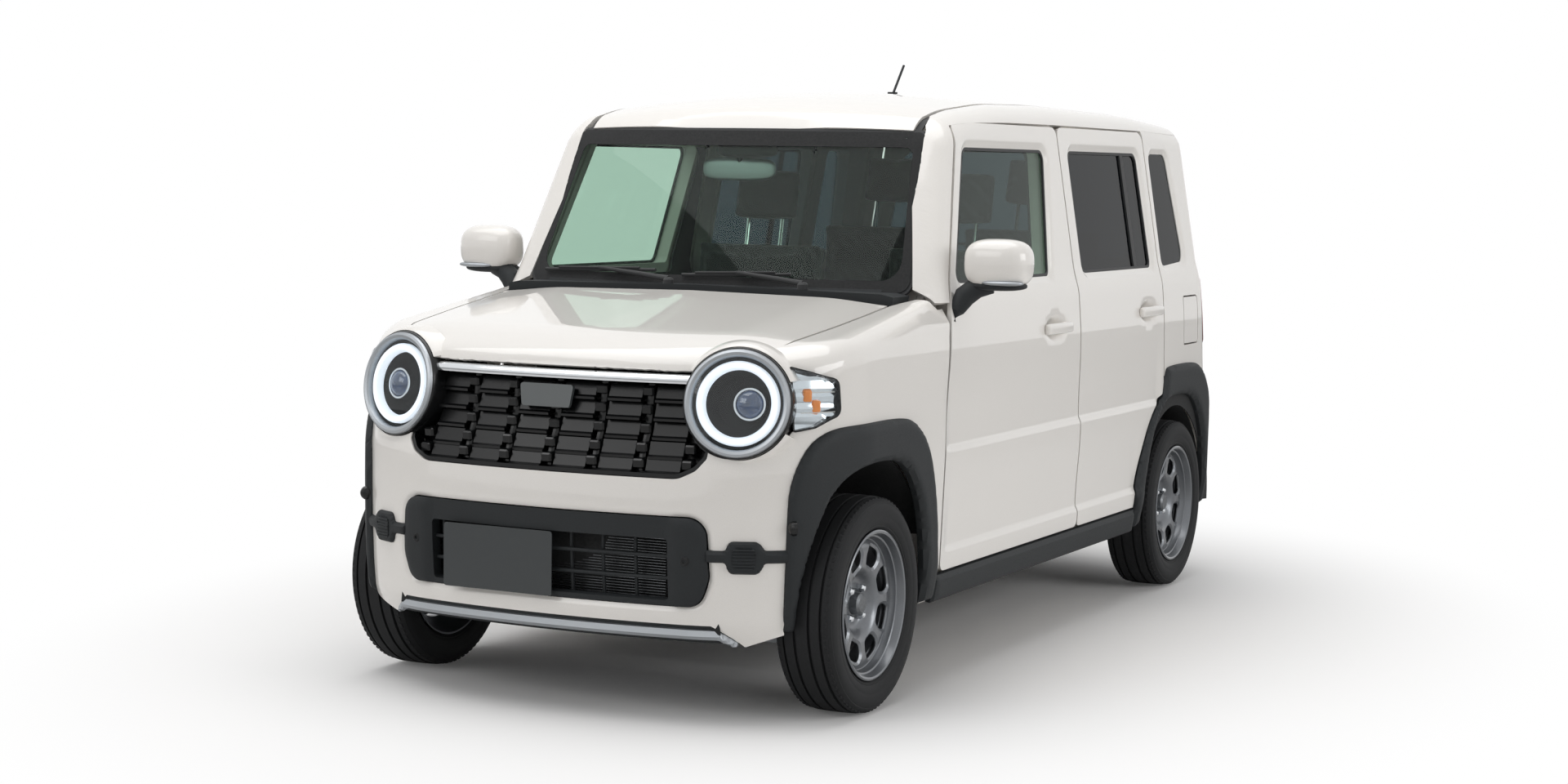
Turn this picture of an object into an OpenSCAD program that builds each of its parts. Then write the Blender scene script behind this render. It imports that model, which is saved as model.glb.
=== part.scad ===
// Small tall hatchback with four doors, a tailgate and black wheel arch trim.
// Front faces -Y, the car's left is +X, up is +Z, and the wheels stand on z = 0.

/* [Body] */
// Length ahead of the front axle
front_overhang = 467.5; // [450:2.5:480]
// Length behind the rear axle
rear_overhang = 467.5; // [450:2.5:480]
// Width over the wheel arch trim
body_w = 1475; // [1450:5:1490]
// Height of the roof
roof_z = 1640; // [1610:5:1680]
// Height of the sill's and doors' lower edge
sill_z = 312; // [300:2:330]
// Underside of the floor
floor_z = 225; // [210:5:240]
// Underside of the raised load floor
load_floor_z = 430; // [420:5:450]
// Thickness of the floor pan
floor_t = 40; // [30:2:50]
// Height of the lower edge of the side windows
belt_z = 1085; // [1070:5:1100]
// Thickness of a body side or door below the windows
wall_t = 95; // [85:1:105]
// Thickness of a pillar or door above the windows' lower edge
frame_t = 60; // [52:1:68]
// Thickness of the roof
roof_t = 40; // [30:1:50]
// Distance of the roof's seams from the widest line of the painted side
roof_seam_in = 193.5; // [185:0.5:205]
// Thickness of a folded sheet skin
skin_t = 5; // [4:0.25:5.5]
// Thickness of a bumper or wing moulding
panel_t = 25; // [20:1:32]
// Gap round doors and lids
gap = 8; // [7.5:0.25:8.5]

/* [Wheels] */
// Distance between the axles
wheelbase = 2460; // [2420:5:2480]
// Distance of a wheel's middle plane from the widest line of the painted side
wheel_in = 76; // [75:0.5:80]
// Outer radius of a tyre
tyre_r = 282; // [274:1:286]
// Width of a tyre
tyre_w = 165; // [155:1:175]
// Radius of the rim where the tyre sits
rim_r = 190; // [185:1:196]
// Radius of a wheel arch
arch_r = 340; // [332:1:346]
// Width of the arch trim beside a wheel
clad_w = 64; // [54:1:70]
// Upper edge of the arch trim
trim_top_z = 756; // [745:1:765]
// Upper edge of a wheel opening
opening_z = 652; // [640:1:660]
// Thickness of the arch and sill trim
clad_t = 14; // [10:0.5:16]
// Clearance between the black trim and the panels it sits on
trim_fit = 0.2; // [0.1:0.05:0.5]
// Room round a front tyre inside the bumper, for steering
steer_room = 88; // [84:1:92]
// Radius of a wheel spindle
spindle_r = 14; // [12:0.5:18]
// Radius of the circle of wheel nuts
nut_pcd_r = 50; // [48:0.5:57]
// Distance of a steering pivot from its wheel's middle plane
kingpin_in = 119.5; // [117:0.5:122]
// Radius of a steering pivot pin
kingpin_r = 12; // [10:0.5:14]
// Free play of a shaft in its bore
play = 0.05; // [0.02:0.01:0.08]

/* [Doors] */
// Distance of the line between the doors behind the front axle
door_split = 1505; // [1485:5:1525]
// Distance of the rear door's rear edge ahead of the rear axle
door_rear_in = 152; // [140:2:170]
// Upper edge of the doors
door_top_z = 1538; // [1528:2:1544]
// Upper edge of the side windows
window_top_z = 1468; // [1450:2:1476]
// Distance of a hinge pin behind the edge of its door or lid
hinge_back = 55; // [52:1:58]
// Distance of a hinge pin below the outer surface
hinge_in = 15; // [14.5:0.25:16]
// Radius of a hinge pin
pin_r = 4; // [3.5:0.25:4.25]
// Height of a hinge barrel
barrel_h = 24; // [20:1:30]
// Wall of a hinge barrel round its pin
barrel_t = 3.5; // [3:0.25:3.75]
// Thickness of the window glass
glass_t = 4; // [3:0.5:6]
// Depth of the window glass below the outer surface
glass_in = 10; // [9:0.5:14]

/* [Nose] */
// Height of the scuttle at the windscreen's foot
cowl_z = 1066; // [1056:2:1072]
// Distance of the bonnet's rear corners from the widest line of the painted side
hood_edge_in = 123.5; // [118:0.5:133]
// Slope of the bonnet in degrees
hood_slope = 8; // [7:0.25:9]
// Radius of the front's curve seen from above
front_curve_r = 2380; // [2200:20:2600]
// Radius of a headlamp over its bezel
lamp_r = 132; // [122:1:136]
// Distance of a headlamp's middle from the widest line of the painted side
lamp_in = 220.5; // [216:0.5:225]
// Height of the headlamps
lamp_z = 818; // [812:1:824]
// Upper edge of the lower intake
intake_top_z = 535; // [525:1:545]
// Lower edge of the lower intake
intake_low_z = 306; // [300:1:312]
// Slope of the windscreen in degrees
screen_rake = 63.5; // [62:0.5:66]
// Radius of the windscreen's curve
screen_curve_r = 2620; // [2400:20:2900]
// Radius of the tail's curve seen from above
tail_curve_r = 3000; // [2700:50:3400]

/* [Plates] */
// Distance between the two screw holes of a number plate
plate_pitch = 210; // [200:5:220]
// Radius of a number plate's screw hole
plate_hole_r = 3; // [2.5:0.25:4]
// Height of the front plate's holes
plate_front_z = 462; // [458:1:466]
// Place of the front plate across the car
plate_front_x = -128; // [-160:4:0]
// Height of the rear plate's holes
plate_rear_z = 720; // [680:5:800]

/* [Cabin] */
// Gap between the front seats
seat_gap = 190; // [180:2:200]
// Gap between a front seat and the wall beside it
seat_side = 53.5; // [50:0.5:60]
// Height of a front seat cushion's top
seat_z = 640; // [620:5:660]
// Gap between the rear seat and the wheel housings
rear_seat_side = 6; // [5:0.5:20]
// Half of the gap between the halves of the rear seat
rear_seat_split = 4; // [3:0.5:8]
// Height of the rear seat cushion's top
rear_seat_z = 690; // [680:5:710]
// Radius of the steering wheel
steer_r = 180; // [170:2:190]
// Radius of the steering wheel's rim tube
steer_tube_r = 14; // [12:0.5:16]

/* [Hidden] */
$fn = 64;

// Reach of the long cutting solids
far = 4000;
body_l = front_overhang + wheelbase + rear_overhang;
front_y = -body_l / 2;
rear_y = body_l / 2;
axle_front_y = front_y + front_overhang;
axle_rear_y = rear_y - rear_overhang;
// Half width of the painted body, inside the trim
half_w = body_w / 2 - clad_t;
hub_z = tyre_r;
hub_x = half_w - wheel_in;
kingpin_x = hub_x - kingpin_in;
roof_half = half_w - roof_seam_in;
hood_half = half_w - hood_edge_in;
lamp_x = half_w - lamp_in;
pillar_b_y = axle_front_y + door_split;
pillar_c_y = axle_rear_y - door_rear_in;
seat_w = half_w - wall_t - seat_side - seat_gap / 2;
seat_x = (seat_gap + seat_w) / 2;
rear_seat_w = roof_half - rear_seat_side - rear_seat_split;
crease_z = 640;
// Outer edge of the arch trim
trim_r = arch_r + clad_w;
// Front door's front edge and wing's rear edge
door_front_y = axle_front_y + trim_r + 24;
// Foot of the windscreen on the centre plane
screen_y = axle_front_y + 372;
screen_z = cowl_z + 14;
cowl_y = axle_front_y + 362;
tailgate_y = rear_y - 207.5;
// Where the tail's curve meets the sides
tail_corner_y = rear_y - tail_curve_r + sqrt(tail_curve_r * tail_curve_r - half_w * half_w);
hood_rear_y = cowl_y - 50;
reach = sqrt(hinge_back * hinge_back + hinge_in * hinge_in);
// Gap round the inner part of a door, which swings back a little as it opens
gate_gap = gap + 4;
// Free radius round a hinge pin for the turning edge
pocket_r = reach + gap;
WHITE = [0.90, 0.89, 0.86];
BLACK = [0.10, 0.10, 0.11];
GREY = [0.45, 0.46, 0.48];
GLASS = [0.30, 0.36, 0.36];

module mirrored() {
  children();
  mirror([1, 0, 0]) children();
}

// Extrudes a Y-Z outline along X, from x0 to x1
module along_x(x0, x1) {
  translate([x0, 0, 0]) rotate([90, 0, 90]) linear_extrude(x1 - x0) children();
}

// Extrudes an X-Z outline along Y, from y0 to y1
module along_y(y0, y1) {
  translate([0, y1, 0]) rotate([90, 0, 0]) linear_extrude(y1 - y0) children();
}

module box(x0, x1, y0, y1, z0, z1) {
  translate([x0, y0, z0]) cube([x1 - x0, y1 - y0, z1 - z0]);
}

module rounded(r) {
  offset(r = r) offset(delta = -r) children();
}

module rounded_box(w, h, r) {
  offset(r = r) square([w - 2 * r, h - 2 * r], center = true);
}

module mirror_outline(points) {
  last = len(points) - 1;
  polygon(concat(points, [for (i = [last:-1:0]) if (points[i][0] > 0) [-points[i][0], points[i][1]]]));
}

// Cross-section of the cabin, from the floor to the roof's middle
module cabin_section() {
  rounded(45) mirror_outline([
    [0, floor_z], [half_w - 24, floor_z], [half_w - 4, sill_z + 20], [half_w, crease_z],
    [half_w - 7, belt_z - 170], [half_w - 20, belt_z - 30], [half_w - 34, belt_z + 10],
    [half_w - 106, roof_z - 100], [half_w - 150, roof_z - 38], [300, roof_z - 10], [0, roof_z]
  ]);
}

// The same section inside the body sides and roof
module cabin_hollow_section() {
  mirror_outline([
    [0, floor_z + floor_t], [half_w - wall_t, floor_z + floor_t], [half_w - wall_t, belt_z],
    [half_w - 34 - frame_t, belt_z + 25], [half_w - 106 - frame_t, roof_z - 110],
    [roof_half - 30, roof_z - roof_t - 25], [0, roof_z - roof_t]
  ]);
}

// Long-section of the cabin: floor, kick-up over the rear axle and roof
module cabin_profile() {
  polygon([
    [cowl_y, floor_z], [axle_rear_y - trim_r - 20, floor_z], [axle_rear_y - arch_r + 20, load_floor_z],
    [rear_y, load_floor_z], [rear_y, roof_z - 80], [tailgate_y + 8, roof_z - 38], [pillar_c_y, roof_z - 12],
    [pillar_b_y, roof_z], [pillar_b_y - 400, roof_z - 6], [pillar_b_y - 700, roof_z - 30],
    [pillar_b_y - 860, roof_z - 68], [screen_y + 200, roof_z - 130], [cowl_y, roof_z - 300]
  ]);
}

module cabin_hollow_profile() {
  polygon([
    [cowl_y + 30, floor_z + floor_t], [axle_rear_y - trim_r - 40, floor_z + floor_t],
    [axle_rear_y - arch_r, load_floor_z + floor_t], [rear_y, load_floor_z + floor_t],
    [rear_y, roof_z - 120], [pillar_c_y, roof_z - roof_t - 12], [pillar_b_y, roof_z - roof_t],
    [pillar_b_y - 600, roof_z - roof_t - 25], [pillar_b_y - 840, roof_z - roof_t - 85],
    [cowl_y + 30, roof_z - 340]
  ]);
}

module screen_form(depth) {
  translate([0, screen_y, screen_z]) rotate([screen_rake - 90, 0, 0]) translate([0, screen_curve_r, 0])
    cylinder(r = screen_curve_r - depth, h = far, center = true, $fn = 360);
}

// Tail seen from above, with round corners
module tail_plan() {
  rounded(80) intersection() {
    translate([0, -tail_curve_r]) circle(r = tail_curve_r, $fn = 360);
    translate([-half_w, -far]) square([2 * half_w, far]);
  }
}

// Tail that leans forward towards the roof
module tail_form(depth) {
  translate([0, rear_y - 26, belt_z - 500]) rotate([3.6, 0, 0]) translate([0, 0, -700])
    linear_extrude(2200) offset(delta = -depth) tail_plan();
}

// Painted outside of the cabin, moved inwards by depth
module cabin_form(depth) {
  intersection() {
    along_y(-far, far) offset(delta = -depth) cabin_section();
    along_x(-far, far) offset(delta = -depth) cabin_profile();
    screen_form(depth);
    tail_form(depth);
  }
}

module cabin_hollow() {
  intersection() {
    along_y(-far, far) cabin_hollow_section();
    along_x(-far, far) cabin_hollow_profile();
    screen_form(roof_t);
    tail_form(wall_t - 15);
  }
}

module cabin_shell() {
  difference() {
    cabin_form(0);
    cabin_hollow();
  }
}

// Cross-section of the nose at the scuttle, with round bonnet edges
module nose_section() {
  rounded(60) mirror_outline([
    [0, 0], [half_w - 24, 0], [half_w - 4, sill_z + 20], [half_w, crease_z],
    [half_w - 8, belt_z - 170], [half_w - 30, cowl_z - 70], [half_w - 85, cowl_z - 22],
    [half_w - 150, cowl_z - 8], [0, cowl_z]
  ]);
}

// Half of the front's long-section, as radius and height about the front's curve
module nose_profile() {
  polygon([
    [0, 210], [front_curve_r - 60, 210], [front_curve_r - 16, 262], [front_curve_r - 3, 430],
    [front_curve_r, 560], [front_curve_r - 8, 660], [front_curve_r - 46, 740], [front_curve_r - 68, 880],
    [front_curve_r - 86, 925], [front_curve_r - 150, 972], [front_curve_r - 260, 1010],
    [front_curve_r - 700, 1200], [0, 1200]
  ]);
}

// Nose seen from above, with round corners
module nose_plan() {
  rounded(120) polygon([
    [-half_w, cowl_y + 400], [half_w, cowl_y + 400], [half_w, front_y + 200], [half_w - 250, front_y - 10],
    [250 - half_w, front_y - 10], [-half_w, front_y + 200]
  ]);
}

module nose_form(depth) {
  intersection() {
    translate([0, cowl_y, 0]) rotate([hood_slope, 0, 0]) rotate([90, 0, 0]) translate([0, 0, -400])
      linear_extrude(1500) offset(delta = -depth) nose_section();
    translate([0, front_y + front_curve_r, 0]) rotate_extrude($fn = 360)
      intersection() {
        offset(delta = -depth) nose_profile();
        translate([max(depth, 0) + 1, 0]) square([far, far]);
      }
    linear_extrude(far) offset(delta = -depth) nose_plan();
    box(-far, far, front_y, cowl_y + abs(depth), 0, far);
  }
}

module nose_shell(depth) {
  difference() {
    nose_form(0);
    nose_form(depth);
  }
}

// Outlines in the side view (Y, Z)
module front_door_outline() {
  rounded(28) polygon([
    [door_front_y, sill_z], [pillar_b_y - gap / 2, sill_z], [pillar_b_y - gap / 2, door_top_z],
    [door_front_y + 296, door_top_z], [door_front_y + 76, belt_z - 45], [door_front_y + 24, belt_z - 385]
  ]);
}

module rear_door_outline() {
  rounded(28) difference() {
    polygon([
      [pillar_b_y + gap / 2, sill_z], [pillar_c_y, sill_z], [pillar_c_y, door_top_z],
      [pillar_b_y + gap / 2, door_top_z]
    ]);
    translate([axle_rear_y, hub_z]) circle(r = trim_r + 16, $fn = 96);
  }
}

module front_window_outline() {
  rounded(24) polygon([
    [door_front_y + 158, belt_z + 8], [pillar_b_y - 200, belt_z + 8], [pillar_b_y - 110, window_top_z],
    [door_front_y + 330, window_top_z]
  ]);
}

module rear_window_outline() {
  rounded(24) polygon([
    [pillar_b_y + 92, belt_z + 8], [pillar_c_y - 52, belt_z + 8], [pillar_c_y - 62, window_top_z],
    [pillar_b_y + 92, window_top_z]
  ]);
}

module quarter_window_outline() {
  rounded(24) polygon([
    [pillar_c_y + 60, belt_z + 8], [pillar_c_y + 300, belt_z + 20], [pillar_c_y + 240, window_top_z],
    [pillar_c_y + 60, window_top_z]
  ]);
}

// Windscreen and tailgate outlines in the front view (X, Z)
module screen_outline() {
  rounded(40) polygon([
    [-(half_w - 106), cowl_z + 8], [half_w - 106, cowl_z + 8], [half_w - 166, roof_z - 136],
    [-(half_w - 166), roof_z - 136]
  ]);
}

module tailgate_outline() {
  polygon([
    [-(half_w - 112), load_floor_z + floor_t + 10], [half_w - 112, load_floor_z + floor_t + 10],
    [half_w - 112, belt_z - 60], [roof_half, roof_z - 130], [roof_half, roof_z + 100],
    [-roof_half, roof_z + 100], [-roof_half, roof_z - 130], [-(half_w - 112), belt_z - 60]
  ]);
}

module tail_window_outline() {
  rounded(50) polygon([
    [-(half_w - 190), belt_z + 20], [half_w - 190, belt_z + 20], [roof_half - 70, roof_z - 170],
    [-(roof_half - 70), roof_z - 170]
  ]);
}

module fuel_outline() {
  translate([fuel_y, fuel_z]) rounded_box(fuel_w, fuel_h, 18);
}

// Fuel lid: middle, size and hinge pin at its front edge
fuel_w = 150;
fuel_h = 160;
fuel_y = rear_y - 325.5;
fuel_z = belt_z - 182;
fuel_edge_r = 5.5;
fuel_pin_r = 2.5;
fuel_pin_h = fuel_h + 2 * gap + 12;
fuel_pin_x = half_w - 7 - fuel_edge_r;
fuel_pin_y = fuel_y - fuel_w / 2 + fuel_edge_r;

// Hinge pins of the doors: place of the pin, its two heights and the wall that carries it
hinge_x = half_w - 3 - hinge_in;
front_hinge_y = door_front_y + hinge_back;
rear_hinge_y = pillar_b_y + gap / 2 + hinge_back;
hinge_zs = [belt_z - 640, belt_z - 330];
tail_hinge_y = tailgate_y + hinge_back;
tail_hinge_z = roof_z - 46 - hinge_in;
tail_hinge_xs = [-330, 330];
hood_hinge_y = hood_rear_y - hinge_back;
hood_hinge_x = 430;
// The bonnet's crown falls 8 mm from its middle to its shoulder
hood_crown = 8 * hood_hinge_x / (half_w - 150);
hood_hinge_z = cowl_z - (cowl_y - hood_hinge_y) * tan(hood_slope) - hood_crown - hinge_in;
hood_hinge_xs = [-hood_hinge_x, hood_hinge_x];

// Barrel on an arm that runs from the pin along -X; the pin stands along Z
module hinge_arm(length) {
  difference() {
    union() {
      cylinder(r = pin_r + barrel_t, h = barrel_h, center = true);
      translate([-length, -4, -barrel_h / 2]) cube([length, 8, barrel_h]);
    }
    cylinder(r = pin_r + play, h = barrel_h + 2, center = true);
  }
}

// Pin between two ears that run from the pin along +Y to the moving panel
module hinge_pin(length) {
  cylinder(r = pin_r, h = barrel_h + 24, center = true);
  for (side = [-1, 1]) translate([0, 0, side * (barrel_h / 2 + 6.5)]) {
    cylinder(r = pin_r + barrel_t, h = 12, center = true);
    translate([-pin_r - barrel_t, 0, -6]) cube([2 * (pin_r + barrel_t), length, 12]);
  }
}

// Lining of a rear wheel's arch inside the cabin
module wheel_tub() {
  translate([0, axle_rear_y, hub_z]) rotate([0, 90, 0]) difference() {
    translate([0, 0, roof_half]) cylinder(r = arch_r + 12, h = half_w - wall_t + 2 - roof_half, $fn = 96);
    translate([0, 0, roof_half + 10]) cylinder(r = arch_r, h = 200, $fn = 96);
  }
}

module arch_cut(y) {
  translate([0, y, hub_z]) rotate([0, 90, 0]) translate([0, 0, roof_half + 10])
    cylinder(r = arch_r, h = 400, $fn = 96);
}

// Left body side: pillars, sill, roof rail, rear quarter and wheel housing
module body_side() {
  difference() {
    union() {
      difference() {
        intersection() {
          cabin_shell();
          box(roof_half, far, cowl_y, rear_y, 0, far);
        }
        along_x(roof_half - 20, far) offset(delta = gate_gap) front_door_gate();
        along_x(roof_half - 20, far) offset(delta = gate_gap) rear_door_gate();
        difference() {
          along_x(roof_half - 20, far) {
            offset(delta = gap) front_door_outline();
            offset(delta = gap) rear_door_outline();
          }
          cabin_form(skin_t + gap);
        }
        for (y = [front_hinge_y, rear_hinge_y]) translate([hinge_x, y, sill_z - gap])
          cylinder(r = pocket_r, h = door_top_z - sill_z + 2 * gap);
        difference() {
          box(roof_half - 20, far, pillar_b_y - gap, rear_hinge_y + 30, sill_z, door_top_z + gap);
          cabin_form(frame_t - 18);
        }
        along_x(roof_half - 20, far) quarter_window_outline();
        along_y(cowl_y - 200, pillar_b_y - 400) screen_outline();
        along_y(tailgate_y - 110, far) offset(delta = gap) tailgate_outline();
      }
      intersection() {
        difference() {
          wheel_tub();
          arch_cut(axle_rear_y);
        }
        cabin_form(10);
        box(0, far, -far, far, load_floor_z, far);
      }
      for (y = [front_hinge_y, rear_hinge_y], z = hinge_zs) translate([hinge_x, y, z])
        hinge_arm(hinge_x - (half_w - wall_t) - 6);
    }
    arch_cut(axle_rear_y);
    along_x(half_w - 40, far) rear_opening();
  }
}

// Parts of the door apertures that go right through the wall
module front_door_gate() {
  difference() {
    offset(delta = -30) front_door_outline();
    translate([-far, -far]) square([far + front_hinge_y + 14, 2 * far]);
  }
}

module rear_door_gate() {
  difference() {
    offset(delta = -30) rear_door_outline();
    translate([-far, -far]) square([far + rear_hinge_y + 14, 2 * far]);
  }
}

module body_side_left() {
  color(WHITE) difference() {
    body_side();
    along_x(half_w - 60, far) offset(delta = gap) fuel_outline();
    translate([fuel_pin_x, fuel_pin_y, fuel_z])
      cylinder(r = fuel_pin_r + play, h = fuel_pin_h + 2, center = true);
    tail_lamp_zone();
  }
  color(GREY) translate([half_w - 61, fuel_y, fuel_z]) rotate([0, 90, 0]) cylinder(r = 32, h = 26);
}

module body_side_right() {
  color(WHITE) mirror([1, 0, 0]) difference() {
    body_side();
    tail_lamp_zone();
  }
}

// Floor pan with the raised load floor and the bulkhead to the engine
module floor() {
  color(GREY) difference() {
    union() {
      intersection() {
        cabin_shell();
        box(-roof_half, roof_half, cowl_y, rear_y, 0, cowl_z - 60);
      }
    }
    along_y(tailgate_y - 110, far) offset(delta = gap) tailgate_outline();
  }
}

module roof() {
  // Ledge under the tailgate's hinges
  ledge_half = roof_half - 60;
  ledge_z = tail_hinge_z - pocket_r;
  color(WHITE) difference() {
    union() {
      intersection() {
        cabin_shell();
        box(-roof_half, roof_half, cowl_y, rear_y, window_top_z, far);
      }
      box(-ledge_half, ledge_half, tailgate_y - 60, tail_hinge_y + 6, ledge_z - 18, ledge_z);
      box(-ledge_half, ledge_half, tailgate_y - 60, tailgate_y - 20, ledge_z - 18, roof_z - roof_t - 10);
    }
    along_y(cowl_y - 200, pillar_b_y - 400) screen_outline();
    difference() {
      along_y(tailgate_y - gap, far) offset(delta = gap) tailgate_outline();
      box(-far, far, 0, tail_hinge_y + 6, ledge_z - 18, ledge_z);
    }
    translate([0, tail_hinge_y, tail_hinge_z]) rotate([0, 90, 0])
      cylinder(r = pocket_r, h = far, center = true);
  }
  color(WHITE) for (x = tail_hinge_xs) translate([x, tail_hinge_y, tail_hinge_z])
    rotate([0, -90, 0]) hinge_arm(pocket_r + 2);
}

module tail_lamp_zone() {
  box(half_w - 96, far, tail_corner_y - 98.9, far, belt_z - 280, belt_z - 30);
}

// Black scuttle between bonnet and windscreen, with the bonnet's hinge arms
module scuttle() {
  color(BLACK) intersection() {
    difference() {
      box(-hood_half - gap, hood_half + gap, hood_rear_y + 2 * gap + 3, screen_y + 90,
        cowl_z - 60, cowl_z + 8);
      cabin_form(0);
    }
    along_y(-far, far) translate([0, 8]) nose_section();
  }
  color(BLACK) intersection() {
    cabin_shell();
    box(-roof_half, roof_half, cowl_y, 0, cowl_z - 60, cowl_z + 8);
  }
  color(BLACK) for (x = hood_hinge_xs) {
    translate([x, hood_hinge_y, hood_hinge_z]) rotate([0, 0, 180]) rotate([0, -90, 0])
      hinge_arm(pocket_r + 2);
    box(x - 30, x + 30, hood_hinge_y - 16, cowl_y, hood_hinge_z - pocket_r - 20, hood_hinge_z - pocket_r);
  }
}

// Wiper spindles and blades parked on the scuttle
module wipers() {
  foot_z = cowl_z + 8 + 3 * trim_fit;
  color(BLACK) for (x = [-70, 330]) translate([x, hood_rear_y + 32, foot_z - 8 * abs(x) / (half_w - 150)]) {
    cylinder(r = 12, h = 14);
    translate([0, 0, 9]) rotate([0, -90, 0]) cylinder(r = 5, h = x < 0 ? 470 : 380);
  }
}

// Line between front wings and bumper
bumper_y = axle_front_y - 250;
bonnet_front_z = 886;
lamp_yaw = 12;
lamp_y = front_y + 92;

module lamp_place() {
  mirrored() translate([lamp_x, lamp_y, lamp_z]) rotate([0, 0, lamp_yaw]) rotate([90, 0, 0]) children();
}

module hood_outline(margin) {
  offset(delta = margin) polygon([
    [-hood_half, hood_rear_y], [hood_half, hood_rear_y], [hood_half - 40, bumper_y - 40],
    [hood_half - 60, front_y - 100], [60 - hood_half, front_y - 100], [40 - hood_half, bumper_y - 40]
  ]);
}

// Part of the bonnet that its folded inner frame stiffens
module hood_frame_outline() {
  difference() {
    intersection() {
      hood_outline(-40);
      translate([-far, -far]) square([2 * far, far + hood_hinge_y - 14]);
    }
    for (x = [-250, 250]) translate([x, (hood_hinge_y + bumper_y) / 2 + 20])
      rounded_box(360, hood_hinge_y - bumper_y - 170, 40);
  }
}

module hood() {
  color(WHITE) difference() {
    union() {
      intersection() {
        nose_shell(skin_t);
        translate([0, 0, bonnet_front_z + gap]) linear_extrude(far) hood_outline(0);
      }
      intersection() {
        nose_shell(hinge_in + 15);
        translate([0, 0, bonnet_front_z + gap + 30]) linear_extrude(far) hood_frame_outline();
      }
    }
    lamp_place() cylinder(r = lamp_r + gap, h = 400, center = true, $fn = 96);
  }
  color(WHITE) for (x = hood_hinge_xs) translate([x, hood_hinge_y, hood_hinge_z])
    rotate([0, 0, 180]) rotate([0, -90, 0]) hinge_pin(20);
}

module wings() {
  color(WHITE) difference() {
    intersection() {
      nose_shell(panel_t);
      union() {
        box(-far, far, bumper_y, door_front_y - gap - 1, 0, far);
        box(-far, far, front_y, bumper_y + 1, bonnet_front_z, far);
      }
    }
    linear_extrude(far) hood_outline(gap);
    box(-hood_half - gap, hood_half + gap, hood_rear_y - 20, 0, crease_z, far);
    mirrored() along_x(roof_half + 10, far) front_opening();
    lamp_place() cylinder(r = lamp_r, h = 400, center = true, $fn = 96);
    box(-half_w + 220, half_w - 220, -far, far, 0, far);
    box(-far, far, -far, far, 0, floor_z + 30);
  }
}

grille_low_z = 630;
intake_half = lamp_x - 55;

// Outlines of the front's openings in the front view (X, Z)
module grille_outline() {
  mirror_outline([
    [0, grille_low_z], [lamp_x - 128, grille_low_z], [lamp_x - 84, grille_low_z + 22],
    [lamp_x - 62, grille_low_z + 52], [lamp_x - 62, lamp_z - lamp_r + 30],
    [lamp_x - 100, bonnet_front_z + 1], [0, bonnet_front_z + 1]
  ]);
}

module intake_outline() {
  rounded(46) mirror_outline([
    [0, intake_low_z], [intake_half - 18, intake_low_z], [intake_half + 8, intake_low_z + 74],
    [intake_half, intake_top_z], [0, intake_top_z]
  ]);
}

module front_bumper() {
  color(WHITE) difference() {
    intersection() {
      nose_shell(panel_t);
      box(-far, far, front_y, bumper_y, 0, bonnet_front_z);
    }
    along_y(front_y - 10, bumper_y) grille_outline();
    along_y(front_y - 10, bumper_y) intake_outline();
    mirrored() along_x(roof_half + 10, far) front_opening();
    mirrored() translate([roof_half + 10, axle_front_y, hub_z]) rotate([0, 90, 0])
      cylinder(r1 = tyre_r + steer_room, r2 = tyre_r + 28, h = hub_x - roof_half + 25, $fn = 96);
    lamp_place() cylinder(r = lamp_r, h = 400, center = true, $fn = 96);
    box(-far, far, front_y + 75, far, 0, 240);
    box(-far, far, bumper_y - 45, far, bonnet_front_z - 60, far);
  }
}

grille_rows = 5;
grille_bar = 12;

// Dark grille: a frame with rows of slats and staggered posts, as bricks in a wall
module grille() {
  pitch = (bonnet_front_z - 8 - grille_low_z) / grille_rows;
  color(BLACK) intersection() {
    difference() {
      nose_form(8);
      nose_form(44);
      lamp_place() cylinder(r = lamp_r, h = 400, center = true, $fn = 96);
    }
    along_y(front_y - 10, bumper_y) union() {
      difference() {
        grille_outline();
        offset(delta = -16) grille_outline();
      }
      intersection() {
        grille_outline();
        union() {
          for (row = [1:grille_rows - 1]) translate([0, grille_low_z + row * pitch])
            square([2 * lamp_x, grille_bar], center = true);
          for (row = [0:grille_rows - 1], column = [-4:4])
            translate([(column + (row % 2) / 2) * 96, grille_low_z + (row + 0.5) * pitch])
              square([grille_bar, pitch], center = true);
        }
      }
    }
  }
}

// Lower intake: width of its end pods, heights of its bars and spacing of its posts
pod_w = 98;
intake_bar = 8;
intake_bar_zs = [intake_low_z + 70, intake_low_z + 126];
post_pitch = 90;

// Links from the intake to the trim, each with a square reflector housing
module reflector_outline() {
  translate([lamp_x + 40, 440]) square([194, 32], center = true);
  translate([lamp_x + 30, 437]) rounded_box(66, 82, 16);
}

// Garnish along the bumper's lower edge
module garnish_outline() {
  mirror_outline([
    [0, 226], [lamp_x - 41, 226], [lamp_x - 7, 211], [lamp_x + 13, 214], [lamp_x - 33, 250], [0, 250]
  ]);
}

// Moulding that stands proud of the bumper by height, in a front view outline
module proud_moulding(height) {
  intersection() {
    difference() {
      nose_form(-height);
      nose_form(-trim_fit);
    }
    along_y(front_y - 2 * height, bumper_y) children();
  }
}

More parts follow.
